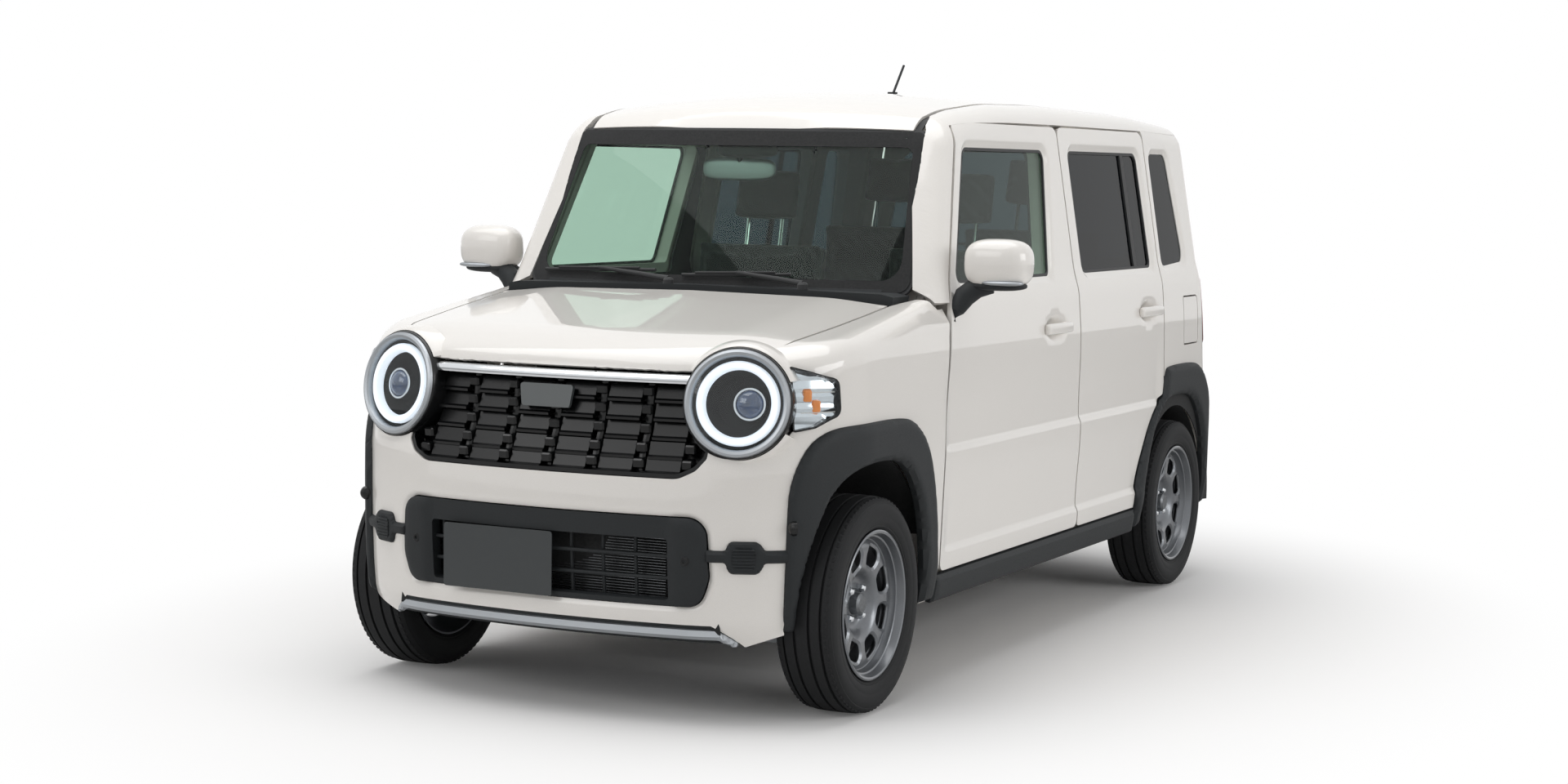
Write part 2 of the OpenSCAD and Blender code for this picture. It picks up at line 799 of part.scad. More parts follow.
// Frame of the lower intake with bars, posts and the number plate's pad, links and garnish
module lower_grille() {
  post_n = floor((intake_half - pod_w) / post_pitch);
  color(BLACK) difference() {
    intersection() {
      difference() {
        nose_form(2);
        nose_form(40);
      }
      along_y(front_y - 10, bumper_y) union() {
        difference() {
          intake_outline();
          translate([pod_w - intake_half, intake_low_z + 16])
            square([2 * (intake_half - pod_w), intake_top_z - intake_low_z - 73]);
        }
        intersection() {
          intake_outline();
          union() {
            for (z = intake_bar_zs) translate([0, z]) square([2 * intake_half, intake_bar], center = true);
            for (post = [-post_n:post_n]) translate([post * post_pitch, (intake_low_z + intake_top_z) / 2])
              square([intake_bar, intake_top_z - intake_low_z], center = true);
            translate([plate_front_x, plate_front_z]) square([plate_pitch + 40, 44], center = true);
          }
        }
      }
    }
    for (x = [-plate_pitch / 2, plate_pitch / 2]) translate([plate_front_x + x, front_y - 10, plate_front_z])
      rotate([-90, 0, 0]) cylinder(r = plate_hole_r, h = 100);
  }
  color(BLACK) mirrored() proud_moulding(11) reflector_outline();
  color(GREY) proud_moulding(13) garnish_outline();
}

module headlamps() {
  color(BLACK) lamp_place() difference() {
    translate([0, 0, -90]) cylinder(r = lamp_r, h = 96, $fn = 96);
    translate([0, 0, -60]) cylinder(r1 = lamp_r - 60, r2 = lamp_r - 26, h = 70, $fn = 96);
  }
}

// Turn signal beside a headlamp, in the front view
module signal_outline() {
  rounded(14) polygon([
    [lamp_x + 103, lamp_z + 87], [lamp_x + 147, lamp_z + 75], [lamp_x + 187, lamp_z + 58],
    [lamp_x + 191, lamp_z - 28], [lamp_x + 157, lamp_z - 58], [lamp_x + 119, lamp_z - 68]
  ]);
}

// Clear lenses of the headlamps and of the turn signals beside them
module headlamp_lenses() {
  color(GLASS) lamp_place() translate([0, 0, 6]) cylinder(r = lamp_r - 22, h = 5, $fn = 96);
  color(GLASS) difference() {
    mirrored() intersection() {
      difference() {
        nose_form(-clad_t);
        nose_form(-trim_fit);
      }
      along_y(front_y, axle_front_y) signal_outline();
    }
    lamp_place() cylinder(r = lamp_r + 2, h = 400, center = true, $fn = 96);
  }
}

// Lower edge of the arch trim and its reach round the bumper's corner
trim_low_z = floor_z + 21;
corner_reach = 318;

// Wheel openings in the side view (Y, Z): wider at the top than the tyre needs, as the trim frames it
module front_opening() {
  translate([axle_front_y, 0]) rounded(40) polygon([
    [-tyre_r - 18, 0], [-tyre_r - 14, hub_z + 138], [-211, opening_z - 52], [-110, opening_z],
    [100, opening_z], [245, opening_z - 95], [tyre_r + 18, hub_z + 118], [tyre_r + 36, 0]
  ]);
}

module rear_opening() {
  translate([axle_rear_y, 0]) rounded(40) polygon([
    [-arch_r - 8, 0], [-arch_r - 4, hub_z + 78], [-245, opening_z - 77], [-110, opening_z],
    [100, opening_z], [220, opening_z - 75], [tyre_r + 14, hub_z + 138], [tyre_r + 28, 0]
  ]);
}

module front_trim_outline() {
  translate([axle_front_y, 0]) rounded(40) polygon([
    [-corner_reach, trim_low_z], [-corner_reach, trim_top_z - 110], [-225, trim_top_z], [195, trim_top_z],
    [trim_r - 90, trim_top_z - 86], [trim_r - 14, hub_z + 208], [trim_r - 4, trim_low_z]
  ]);
}

// The rear trim keeps the rear door's gap
module rear_trim_outline() {
  difference() {
    translate([axle_rear_y, 0]) rounded(40) polygon([
      [4 - trim_r, trim_low_z], [4 - trim_r, trim_top_z], [250, trim_top_z], [325, trim_top_z - 106],
      [362, hub_z + 218], [374, trim_low_z]
    ]);
    offset(delta = gap) rear_door_outline();
  }
}

// Black trim round the wheel openings, outside the panels
module arch_trim() {
  color(BLACK) mirrored() {
    difference() {
      intersection() {
        along_x(half_w - 130, half_w + clad_t) difference() {
          front_trim_outline();
          front_opening();
        }
        linear_extrude(far) offset(delta = clad_t) nose_plan();
      }
      nose_form(-trim_fit);
      cabin_form(-trim_fit);
      box(0, half_w - 30, axle_front_y, 0, 0, far);
    }
    difference() {
      along_x(half_w - 30, half_w + clad_t) difference() {
        rear_trim_outline();
        rear_opening();
      }
      cabin_form(-trim_fit);
      rear_bumper_form(-trim_fit);
    }
  }
}

module sill_trim() {
  color(BLACK) mirrored() difference() {
    box(half_w - 40, half_w + clad_t - 3, axle_front_y + trim_r, axle_rear_y - trim_r,
      floor_z + 12, sill_z - gap);
    cabin_form(0);
    nose_form(0);
    for (y = [axle_front_y, axle_rear_y]) translate([0, y, hub_z]) rotate([0, 90, 0])
      cylinder(r = trim_r, h = far, $fn = 96);
  }
}

module windscreen() {
  color(GLASS) intersection() {
    difference() {
      cabin_form(2);
      cabin_form(2 + glass_t + 1);
    }
    along_y(cowl_y - 200, pillar_b_y - 400) screen_outline();
  }
}

// Pane in a window outline of the left side
module side_pane() {
  intersection() {
    difference() {
      cabin_form(glass_in);
      cabin_form(glass_in + glass_t);
    }
    along_x(200, far) children();
  }
}

module quarter_glass() {
  color(GLASS) mirrored() side_pane() quarter_window_outline();
}

module rear_bumper_form(depth) {
  intersection() {
    along_y(-far, far) offset(delta = -depth) cabin_section();
    translate([0, rear_y, 0]) linear_extrude(load_floor_z + floor_t + 2) offset(delta = -depth) tail_plan();
    box(-far, far, axle_rear_y + arch_r - 20, far, floor_z + 12, far);
  }
}

module rear_bumper() {
  color(WHITE) difference() {
    rear_bumper_form(0);
    intersection() {
      rear_bumper_form(panel_t);
      box(-far, far, -far, far, 0, load_floor_z + floor_t - panel_t);
    }
    cabin_form(-trim_fit);
    mirrored() arch_cut(axle_rear_y);
    box(-half_w + 90, half_w - 90, -far, tailgate_y + 80, 0, far);
  }
}

module tail_lamps() {
  color([0.6, 0.08, 0.07]) mirrored() intersection() {
    difference() {
      cabin_form(0);
      cabin_hollow();
    }
    tail_lamp_zone();
    box(0, far, 0, far, 0, far);
  }
}

module dashboard() {
  half = half_w - wall_t - 18;
  color(BLACK) intersection() {
    along_x(-half, half) rounded(30) polygon([
      [cowl_y - 20, cowl_z - 330], [cowl_y + 200, cowl_z - 420], [cowl_y + 290, cowl_z - 300],
      [cowl_y + 320, cowl_z - 130], [cowl_y + 280, cowl_z - 40], [cowl_y + 150, cowl_z - 8],
      [cowl_y - 20, cowl_z - 14]
    ]);
    cabin_hollow();
  }
}

steer_tilt = 24;
steer_y = cowl_y + 440;
steer_z = cowl_z - 150;

// Places its children on the steering axis, with +Z towards the driver
module steer_place() {
  translate([-seat_x, steer_y, steer_z]) rotate([steer_tilt - 90, 0, 0]) children();
}

module steering_column() {
  color(BLACK) difference() {
    steer_place() difference() {
      translate([0, 0, -300]) cylinder(r = 34, h = 240);
      translate([0, 0, -120]) cylinder(r = 10 + play, h = 200);
    }
    dashboard();
  }
}

module steering_wheel() {
  color(BLACK) steer_place() {
    rotate_extrude() translate([steer_r - steer_tube_r, 0]) circle(r = steer_tube_r);
    translate([0, 0, -110]) cylinder(r = 10, h = 100);
    translate([0, 0, -40]) cylinder(r = 62, h = 42);
    for (angle = [0, 180, 270]) rotate([0, 0, angle]) translate([40, -18, -22]) cube([steer_r - 60, 36, 20]);
  }
}

// One seat on its base: cushion, backrest and head restraint
module seat(width, y, top, base_l) {
  base_z = floor_z + floor_t;
  translate([30 - width / 2, y + 40, base_z]) cube([width - 60, base_l, top - 189 - base_z]);
  along_x(-width / 2, width / 2) rounded(35) polygon([
    [y, top - 190], [y + 480, top - 190], [y + 480, top - 40], [y + 20, top]
  ]);
  along_x(-width / 2, width / 2) rounded(40) polygon([
    [y + 400, top - 120], [y + 500, top - 150], [y + 640, top + 540], [y + 540, top + 560]
  ]);
  along_x(-120, 120) rounded(35) polygon([
    [y + 560, top + 590], [y + 650, top + 580], [y + 685, top + 760], [y + 605, top + 770]
  ]);
  for (x = [-60, 60]) translate([x, y + 590, top + 500]) rotate([-10, 0, 0]) cylinder(r = 7, h = 130);
}

module front_seats() {
  color(BLACK) for (side = [-1, 1]) translate([side * seat_x, 0, 0])
    seat(seat_w, pillar_b_y - 690, seat_z, 380);
}

module rear_seat() {
  color(BLACK) for (side = [-1, 1]) translate([side * (rear_seat_w / 2 + 4), 0, 0])
    seat(rear_seat_w, pillar_b_y + 150, rear_seat_z, 290);
}

rail_x = 300;
rail_w = 66;
rail_z = 310;
rail_h = 90;

module chassis_rails() {
  color(GREY) mirrored() box(rail_x, rail_x + rail_w, front_y + 130, cowl_y, rail_z, rail_z + rail_h);
  color(GREY) difference() {
    box(-rail_x - rail_w - 50, rail_x + rail_w + 50, front_y + 90, front_y + 130, rail_z, rail_z + rail_h);
    mirrored() arch_cut(axle_front_y);
  }
}

module engine() {
  color(GREY) {
    box(-rail_x - rail_w, rail_x + rail_w, axle_front_y - 200, axle_front_y + 240, rail_z + rail_h, 800);
    box(-rail_x + 20, rail_x - 20, axle_front_y - 160, axle_front_y + 200, 215, rail_z + rail_h + 1);
  }
}

module radiator() {
  half = intake_half - 128;
  color(GREY) box(-half, half, front_y + 160, front_y + 200, rail_z + rail_h, 690);
}

arm_z = hub_z - 120;
strut_top_z = 880;

// Lower arms, struts and strut towers of the front wheels
module front_suspension() {
  color(GREY) mirrored() {
    difference() {
      union() {
        box(rail_x, kingpin_x, axle_front_y - 24, axle_front_y + 24, arm_z, arm_z + 22);
        translate([kingpin_x, axle_front_y, arm_z]) cylinder(r = 28, h = 22);
        box(rail_x, rail_x + rail_w, axle_front_y - 40, axle_front_y + 40, arm_z, rail_z);
      }
      translate([kingpin_x, axle_front_y, arm_z - 1]) cylinder(r = kingpin_r + play, h = 40);
    }
    difference() {
      union() {
        translate([kingpin_x, axle_front_y, hub_z + 114]) cylinder(r = 24, h = strut_top_z - hub_z - 114);
        translate([kingpin_x, axle_front_y, hub_z + 340]) cylinder(r = 52, h = strut_top_z - hub_z - 340);
      }
      translate([kingpin_x, axle_front_y, hub_z + 100]) cylinder(r = kingpin_r + play, h = 60);
    }
    intersection() {
      box(kingpin_x - 90, far, axle_front_y - 70, axle_front_y + 70, strut_top_z - 6, strut_top_z + 6);
      nose_form(panel_t);
    }
  }
}

// Hub carrier that turns on its pins and holds the wheel's spindle
module knuckle() {
  color(GREY) translate([hub_x, axle_front_y, hub_z]) {
    pivot = kingpin_x - hub_x;
    translate([pivot - 16, -34, -94]) cube([34, 68, 204]);
    translate([pivot, 0, -112]) cylinder(r = kingpin_r, h = 20);
    translate([pivot, 0, 108]) cylinder(r = kingpin_r, h = 44);
    translate([pivot + 10, 0, 0]) rotate([0, 90, 0]) cylinder(r = 34, h = -pivot - 70);
    translate([pivot + 10, 0, 0]) rotate([0, 90, 0]) cylinder(r = spindle_r, h = -pivot + 10);
  }
}

module knuckle_left() {
  knuckle();
}

module knuckle_right() {
  mirror([1, 0, 0]) knuckle();
}

module rear_axle() {
  color(GREY) mirrored() {
    difference() {
      box(roof_half - 60, roof_half - 20, axle_rear_y - trim_r - 30, axle_rear_y + 40,
        hub_z - 24, hub_z + 24);
      cabin_form(0);
    }
    translate([roof_half - 40, axle_rear_y - 60, hub_z + 24]) cylinder(r = 40, h = load_floor_z - hub_z - 24);
    translate([roof_half - 30, axle_rear_y, hub_z]) rotate([0, 90, 0]) {
      cylinder(r = 34, h = hub_x - roof_half - 40);
      cylinder(r = spindle_r, h = hub_x - roof_half + 40);
    }
  }
  color(GREY) translate([0, axle_rear_y - 130, hub_z]) rotate([0, 90, 0])
    cylinder(r = 24, h = 2 * roof_half - 90, center = true);
}

module exhaust() {
  pipe_r = 22;
  bend = [-140, axle_rear_y - 40, floor_z - pipe_r - 0.3];
  color(GREY) {
    translate(bend) rotate([90, 0, 0]) cylinder(r = pipe_r, h = 1950);
    translate(bend) sphere(r = pipe_r + 3);
    translate(bend) rotate([-60, 0, 0]) cylinder(r = pipe_r, h = 300);
    translate([0, axle_rear_y + 250, load_floor_z - 75.3]) rotate([0, 90, 0])
      cylinder(r = 75, h = 420, center = true);
  }
}

module antenna() {
  color(BLACK) difference() {
    translate([0, pillar_b_y + 150, roof_z - 20]) {
      cylinder(r = 16, h = 30);
      translate([0, 0, 20]) rotate([-41, 0, 0]) cylinder(r = 4, h = 130);
    }
    cabin_form(0);
  }
}

// Left door with an outer skin, an inner box behind it, its pins and a grip
module door(hinge_y, grip_y) {
  color(WHITE) difference() {
    union() {
      intersection() {
        difference() {
          cabin_form(0);
          cabin_form(skin_t);
        }
        along_x(200, far) children(0);
      }
      intersection() {
        difference() {
          cabin_form(0);
          cabin_hollow();
        }
        along_x(200, far) children(1);
      }
    }
    along_x(200, far) children(2);
  }
  color(WHITE) for (z = hinge_zs) translate([hinge_x, hinge_y, z]) hinge_pin(18);
  color(WHITE) translate([half_w - 14, grip_y, belt_z - 145]) rotate([0, 90, 0])
    linear_extrude(22) rounded_box(34, 190, 14);
}

module front_door() {
  door(front_hinge_y, pillar_b_y - 190) {
    front_door_outline();
    front_door_gate();
    front_window_outline();
  }
}

module rear_door() {
  door(rear_hinge_y, pillar_c_y - 130) {
    rear_door_outline();
    rear_door_gate();
    rear_window_outline();
  }
}

module door_front_left() {
  front_door();
}

module door_front_right() {
  mirror([1, 0, 0]) front_door();
}

module door_rear_left() {
  rear_door();
}

module door_rear_right() {
  mirror([1, 0, 0]) rear_door();
}

module glass_front_left() {
  color(GLASS) side_pane() front_window_outline();
}

module glass_front_right() {
  color(GLASS) mirror([1, 0, 0]) side_pane() front_window_outline();
}

module glass_rear_left() {
  color(GLASS) side_pane() rear_window_outline();
}

module glass_rear_right() {
  color(GLASS) mirror([1, 0, 0]) side_pane() rear_window_outline();
}

// Left door mirror: foot on the door, arm and housing
module door_mirror() {
  color(BLACK) difference() {
    along_x(half_w - 60, half_w + 30) rounded(10) polygon([
      [door_front_y + 100, belt_z - 60], [door_front_y + 190, belt_z - 60], [door_front_y + 170, belt_z + 30],
      [door_front_y + 110, belt_z + 30]
    ]);
    cabin_form(0);
  }
  color(WHITE) translate([half_w + 100, door_front_y + 130, belt_z + 80]) rotate([90, 0, 8])
    linear_extrude(110, center = true) rounded_box(180, 120, 34);
}

module mirror_left() {
  door_mirror();
}

module mirror_right() {
  mirror([1, 0, 0]) door_mirror();
}

module tailgate() {
  color(WHITE) difference() {
    union() {
      intersection() {
        difference() {
          cabin_form(0);
          cabin_form(skin_t);
        }
        along_y(tailgate_y, far) tailgate_outline();
      }
      intersection() {
        difference() {
          cabin_form(0);
          cabin_hollow();
        }
        along_y(tail_hinge_y + 14, far) offset(delta = -30) tailgate_outline();
      }
    }
    along_y(0, far) tail_window_outline();
    for (x = [-plate_pitch / 2, plate_pitch / 2]) translate([x, rear_y - 60, plate_rear_z])
      rotate([-90, 0, 0])
      cylinder(r = plate_hole_r, h = 100);
  }
  color(WHITE) for (x = tail_hinge_xs) translate([x, tail_hinge_y, tail_hinge_z])
    rotate([0, -90, 0]) hinge_pin(20);
}

module tailgate_glass() {
  color(GLASS) intersection() {
    difference() {
      cabin_form(glass_in);
      cabin_form(glass_in + glass_t);
    }
    along_y(tail_hinge_y, far) tail_window_outline();
  }
}

module fuel_lid() {
  color(WHITE) intersection() {
    difference() {
      cabin_form(0);
      cabin_form(skin_t);
    }
    along_x(200, far) intersection() {
      fuel_outline();
      translate([fuel_pin_y, -far]) square([far, 2 * far]);
    }
  }
  color(WHITE) translate([fuel_pin_x, fuel_pin_y, fuel_z]) {
    cylinder(r = fuel_edge_r, h = fuel_h - 2 * 18, center = true);
    cylinder(r = fuel_pin_r, h = fuel_pin_h, center = true);
  }
}

// Pressed steel wheel with hub and brake disc, outboard face towards +X
module wheel() {
  half = tyre_w / 2;
  rotate([0, 90, 0]) difference() {
    union() {
      rotate_extrude($fn = 96) polygon([
        [rim_r - 8, -half + 6], [rim_r + 14, -half + 6], [rim_r + 14, -half + 12], [rim_r, -half + 14],
        [rim_r, half - 14], [rim_r + 14, half - 12], [rim_r + 14, half - 6], [rim_r - 8, half - 6]
      ]);
      rotate_extrude($fn = 96) polygon([
        [spindle_r - 2, 24], [90, 24], [130, 44], [rim_r - 7, 30], [rim_r - 7, 22], [130, 36], [92, 14],
        [spindle_r - 2, 14]
      ]);
      translate([0, 0, -32]) cylinder(r = 62, h = 50);
      translate([0, 0, -42]) cylinder(r = 118, h = 12, $fn = 96);
      for (i = [0:3]) rotate([0, 0, i * 90]) translate([nut_pcd_r, 0, 20]) cylinder(r = 9, h = 22, $fn = 6);
    }
    translate([0, 0, -60]) cylinder(r = spindle_r + play, h = 100);
    for (i = [0:7]) rotate([0, 0, i * 45 + 22.5]) translate([128, 0, 0]) cylinder(r = 21, h = 80);
  }
}

module tyre() {
  half = tyre_w / 2;
  rotate([0, 90, 0]) rotate_extrude($fn = 96) polygon([
    [rim_r, -half + 14], [rim_r + 14, -half + 12], [rim_r + 20, -half + 4], [rim_r + 44, -half],
    [tyre_r - 26, -half + 6], [tyre_r - 5, -half + 22], [tyre_r, -half + 40], [tyre_r, half - 40],
    [tyre_r - 5, half - 22], [tyre_r - 26, half - 6], [rim_r + 44, half], [rim_r + 20, half - 4],
    [rim_r + 14, half - 12], [rim_r, half - 14]
  ]);
}

module wheel_front_left() {
  color(GREY) translate([hub_x, axle_front_y, hub_z]) wheel();
}

module wheel_front_right() {
  color(GREY) mirror([1, 0, 0]) translate([hub_x, axle_front_y, hub_z]) wheel();
}

module wheel_rear_left() {
  color(GREY) translate([hub_x, axle_rear_y, hub_z]) wheel();
}

module wheel_rear_right() {
  color(GREY) mirror([1, 0, 0]) translate([hub_x, axle_rear_y, hub_z]) wheel();
}

module tyre_front_left() {
  color(BLACK) translate([hub_x, axle_front_y, hub_z]) tyre();
}

module tyre_front_right() {
  color(BLACK) translate([-hub_x, axle_front_y, hub_z]) tyre();
}

module tyre_rear_left() {
  color(BLACK) translate([hub_x, axle_rear_y, hub_z]) tyre();
}

module tyre_rear_right() {
  color(BLACK) translate([-hub_x, axle_rear_y, hub_z]) tyre();
}

floor();
body_side_left();
body_side_right();
roof();
scuttle();
wipers();
wings();
front_bumper();
grille();
lower_grille();
headlamps();
headlamp_lenses();
arch_trim();
sill_trim();
windscreen();
quarter_glass();
rear_bumper();
tail_lamps();
dashboard();
steering_column();
front_seats();
rear_seat();
engine();
radiator();
chassis_rails();
front_suspension();
rear_axle();
exhaust();
antenna();
door_front_left();
door_front_right();
door_rear_left();
door_rear_right();
glass_front_left();
glass_front_right();
glass_rear_left();
glass_rear_right();
mirror_left();
mirror_right();
tailgate();
tailgate_glass();
hood();
fuel_lid();
knuckle_left();
knuckle_right();
wheel_front_left();
wheel_front_right();
wheel_rear_left();
wheel_rear_right();
tyre_front_left();
tyre_front_right();
tyre_rear_left();
tyre_rear_right();
steering_wheel();
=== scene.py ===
# %% [markdown]
# # A small white crossover car
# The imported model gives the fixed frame: every body, node and joint, in metres, with the front
# towards -Y and the car's left towards +X. This lesson dresses it: smooth sheet metal, glass,
# lamps, wheels and trim are modelled over the solids, and each piece rides on the body it moves with.

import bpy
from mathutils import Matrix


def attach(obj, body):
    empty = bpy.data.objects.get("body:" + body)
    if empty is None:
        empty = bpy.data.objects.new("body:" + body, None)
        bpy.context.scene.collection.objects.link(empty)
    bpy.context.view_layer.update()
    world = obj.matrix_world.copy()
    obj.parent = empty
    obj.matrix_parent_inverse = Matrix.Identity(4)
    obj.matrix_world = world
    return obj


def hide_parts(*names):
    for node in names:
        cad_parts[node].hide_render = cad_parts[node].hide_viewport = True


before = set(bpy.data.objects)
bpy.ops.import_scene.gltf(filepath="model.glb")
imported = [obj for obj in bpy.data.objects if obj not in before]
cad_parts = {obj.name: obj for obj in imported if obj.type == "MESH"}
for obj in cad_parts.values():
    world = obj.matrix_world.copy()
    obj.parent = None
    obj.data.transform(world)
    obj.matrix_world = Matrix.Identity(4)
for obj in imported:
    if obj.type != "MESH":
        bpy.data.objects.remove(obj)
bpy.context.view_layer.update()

import math

import bmesh
import bpy
import numpy as np
from mathutils import Matrix, Vector, geometry

# %% [markdown]
# ## Colours, nodes and materials
# Colours are written as the hex values that a paint chip would have, and one function turns them
# to the linear numbers that Blender mixes light with. More functions add a node with its settings
# and links, and make a grained material in one line.

# %% Colour and node helpers
def linear(code):
    """Linear RGBA of an sRGB hex colour."""
    channels = [int(code[i:i + 2], 16) / 255 for i in (1, 3, 5)]
    return tuple(c / 12.92 if c <= 0.04045 else ((c + 0.055) / 1.055) ** 2.4 for c in channels) + (1.0,)


def add(tree, kind, inputs=None, **settings):
    """Adds a node, sets its properties, and sets or links its inputs."""
    node = tree.nodes.new(kind)
    for key, value in settings.items():
        setattr(node, key, value)
    for key, value in (inputs or {}).items():
        if isinstance(value, bpy.types.NodeSocket):
            tree.links.new(value, node.inputs[key])
        else:
            node.inputs[key].default_value = value
    return node


def start_material(name, **inputs):
    """A material with one Principled shader; returns the material, its tree and the shader."""
    material = bpy.data.materials.new(name)
    material.use_nodes = True
    tree = material.node_tree
    tree.nodes.clear()
    shader = add(tree, "ShaderNodeBsdfPrincipled", {k.replace("_", " "): v for k, v in inputs.items()})
    add(tree, "ShaderNodeOutputMaterial", {"Surface": shader.outputs[0]})
    material.diffuse_color = inputs["Base_Color"]
    return material, tree, shader


def grain(tree, shader, size_mm, depth_mm, strength=0.4, kind="ShaderNodeTexNoise", **settings):
    """Bump from a fine pattern whose cells are size_mm wide; returns the pattern's factor."""
    place = add(tree, "ShaderNodeTexCoord")
    inputs = {"Vector": place.outputs["Object"], "Scale": 1000 / size_mm}
    pattern = add(tree, kind, inputs, **settings)
    bump = add(tree, "ShaderNodeBump", {"Height": pattern.outputs[0], "Distance": depth_mm * 0.001,
                                        "Strength": strength})
    tree.links.new(bump.outputs[0], shader.inputs["Normal"])
    return pattern.outputs[0]


def vary(tree, shader, socket, factor, low, high):
    """Lets a pattern move one of the shader's numbers or colours between low and high."""
    if isinstance(low, tuple):
        mix = add(tree, "ShaderNodeMix", {0: factor, 6: low, 7: high}, data_type="RGBA")
        tree.links.new(mix.outputs[2], shader.inputs[socket])
    else:
        spread = add(tree, "ShaderNodeMapRange", {0: factor, 3: low, 4: high})
        tree.links.new(spread.outputs[0], shader.inputs[socket])


def grained(name, code, rough, cell_mm, depth_mm, strength, low, high, kind="ShaderNodeTexNoise", **inputs):
    """A material with a fine bump that also moves its roughness, or its colour if low is a colour."""
    material, tree, shader = start_material(name, Base_Color=linear(code), Roughness=rough, **inputs)
    factor = grain(tree, shader, cell_mm, depth_mm, strength, kind)
    if isinstance(low, str):
        vary(tree, shader, "Base Color", factor, linear(low), linear(high))
    else:
        vary(tree, shader, "Roughness", factor, low, high)
    return material


print("helpers ready")

# %% [markdown]
# ## Body paint and plastics
# Car paint is a pigmented base under a clear coat. The pearl here is a warm white: the base is
# slightly rough and the coat gives the sharp highlight. The trim is polypropylene moulded in a
# grained tool, so it is matt with a fine pebble; the grille is the same plastic in a polished tool.

# %% Paint and plastics
paint, tree, shader = start_material("pearl_white_paint", Base_Color=linear("#E9E5E0"), Roughness=0.42,
                                     Coat_Weight=1.0, Coat_Roughness=0.03, Coat_IOR=1.5)
flakes = add(tree, "ShaderNodeTexNoise", {"Vector": add(tree, "ShaderNodeTexCoord").outputs["Object"],
                                          "Scale": 1000 / 1.5, "Detail": 1.0})
vary(tree, shader, "Base Color", flakes.outputs[0], linear("#E4E0DA"), linear("#EFECE8"))

# Grained polypropylene: dark grey, broad dull highlight, pebble of about 2 mm drawn coarse enough to show.
trim, tree, shader = start_material("grained_polypropylene", Base_Color=linear("#1F2224"), Roughness=0.6,
                                    Specular_IOR_Level=0.32)
pebble = grain(tree, shader, 2.2, 0.25, 0.35, "ShaderNodeTexVoronoi", feature="SMOOTH_F1")
vary(tree, shader, "Roughness", pebble, 0.55, 0.72)

# The same plastic from a polished tool: nearly black, clear highlight on the edges of the slats.
gloss = grained("polished_black_abs", "#0D0E0F", 0.24, 60, 0.01, 0.05, 0.2, 0.3, Specular_IOR_Level=0.35)

# Satin black: its own colour on hinges and the underbody, and painted shade in cavities and gaps so that
# they read dark.
cavity = grained("black_underseal_and_painted_shade", "#141516", 0.85, 6, 0.8, 0.5, 0.75, 0.95)

# Door seals and wiper blades: soft EPDM rubber, matt black with a faint grey bloom.
rubber = grained("epdm_rubber", "#17181A", 0.7, 9, 0.1, 0.2, "#141517", "#1E2022", Sheen_Weight=0.15)

# Primer under the paint, on hidden structure: dull warm white with light spray texture.
primer = grained("sprayed_primer", "#D8D4CE", 0.55, 3, 0.1, 0.3, 0.48, 0.62)
print("paint and plastics ready")

# %% [markdown]
# ## Glass, lenses and metals
# Car windows are laminated or toughened float glass with a green tint; the rear panes are dyed
# dark. The tint is the colour of a see-through shader, mixed with a mirror. Lamp lenses are clear
# polycarbonate. Chrome strips are plated plastic, and the garnish under the bumper is satin silver.

# %% Glass and metals
def glass_material(name, tint, straight=0.008, roughness=0.0):
    """A thin pane: a tinted see-through part and a mirror that grows towards grazing angles."""
    material = bpy.data.materials.new(name)
    material.use_nodes = True
    tree = material.node_tree
    tree.nodes.clear()
    through = add(tree, "ShaderNodeBsdfTransparent", {"Color": linear(tint)})
    mirror = add(tree, "ShaderNodeBsdfGlossy", {"Roughness": roughness, "Color": (1, 1, 1, 1)})
    facing = add(tree, "ShaderNodeLayerWeight", {"Blend": 0.5})
    grazing = add(tree, "ShaderNodeMath", {0: facing.outputs["Facing"], 1: 5.0}, operation="POWER")
    shine = add(tree, "ShaderNodeMapRange", {0: grazing.outputs[0], 3: straight, 4: 0.45})
    pane = add(tree, "ShaderNodeMixShader", {0: shine.outputs[0], 1: through.outputs[0],
                                             2: mirror.outputs[0]})
    add(tree, "ShaderNodeOutputMaterial", {"Surface": pane.outputs[0]})
    return material


green_glass = glass_material("tinted_float_glass", "#E3EEE8")
dark_glass = glass_material("dyed_privacy_glass", "#6E7A82", 0.022)
clear_lens = glass_material("clear_polycarbonate", "#F7F9FA", 0.02, 0.02)

chrome = grained("chrome_plated_abs", "#D9DCDF", 0.12, 30, 0.02, 0.1, 0.08, 0.16, Metallic=1.0)
silver = grained("satin_silver_paint", "#A3A7AB", 0.38, 1.5, 0.02, 0.2, 0.32, 0.44, Metallic=0.85)
steel = grained("forged_steel", "#6E7073", 0.45, 8, 0.2, 0.3, "#5D5F61", "#7E8184", Metallic=1.0)
alloy = grained("cast_aluminium", "#9A9C9F", 0.5, 4, 0.3, 0.5, 0.42, 0.6, Metallic=1.0)
# Gunmetal enamel on the pressed wheels: dark grey metallic with a broad silvery highlight.
gunmetal = grained("gunmetal_wheel_enamel", "#6B6E72", 0.34, 1.5, 0.02, 0.1, "#606367", "#787B7F",
                   Metallic=0.8, Coat_Weight=0.5, Coat_Roughness=0.1)
# Tyre rubber: carbon black, dusty and dull, with fine mould lines too small to model.
tyre_rubber = grained("tyre_rubber", "#17181A", 0.72, 5, 0.2, 0.35, "#131415", "#1D1E20",
                      Specular_IOR_Level=0.3)
red_lens = grained("red_acrylic_lens", "#7E0A0E", 0.08, 12, 0.4, 0.3, "#6A070A", "#94131A", Coat_Weight=1.0)
amber = grained("amber_bulb_glass", "#E07A2A", 0.15, 10, 0.2, 0.2, "#D46A1E", "#F09A4A",
                Emission_Color=linear("#E88A38"), Emission_Strength=0.25)
print("glass and metals ready")

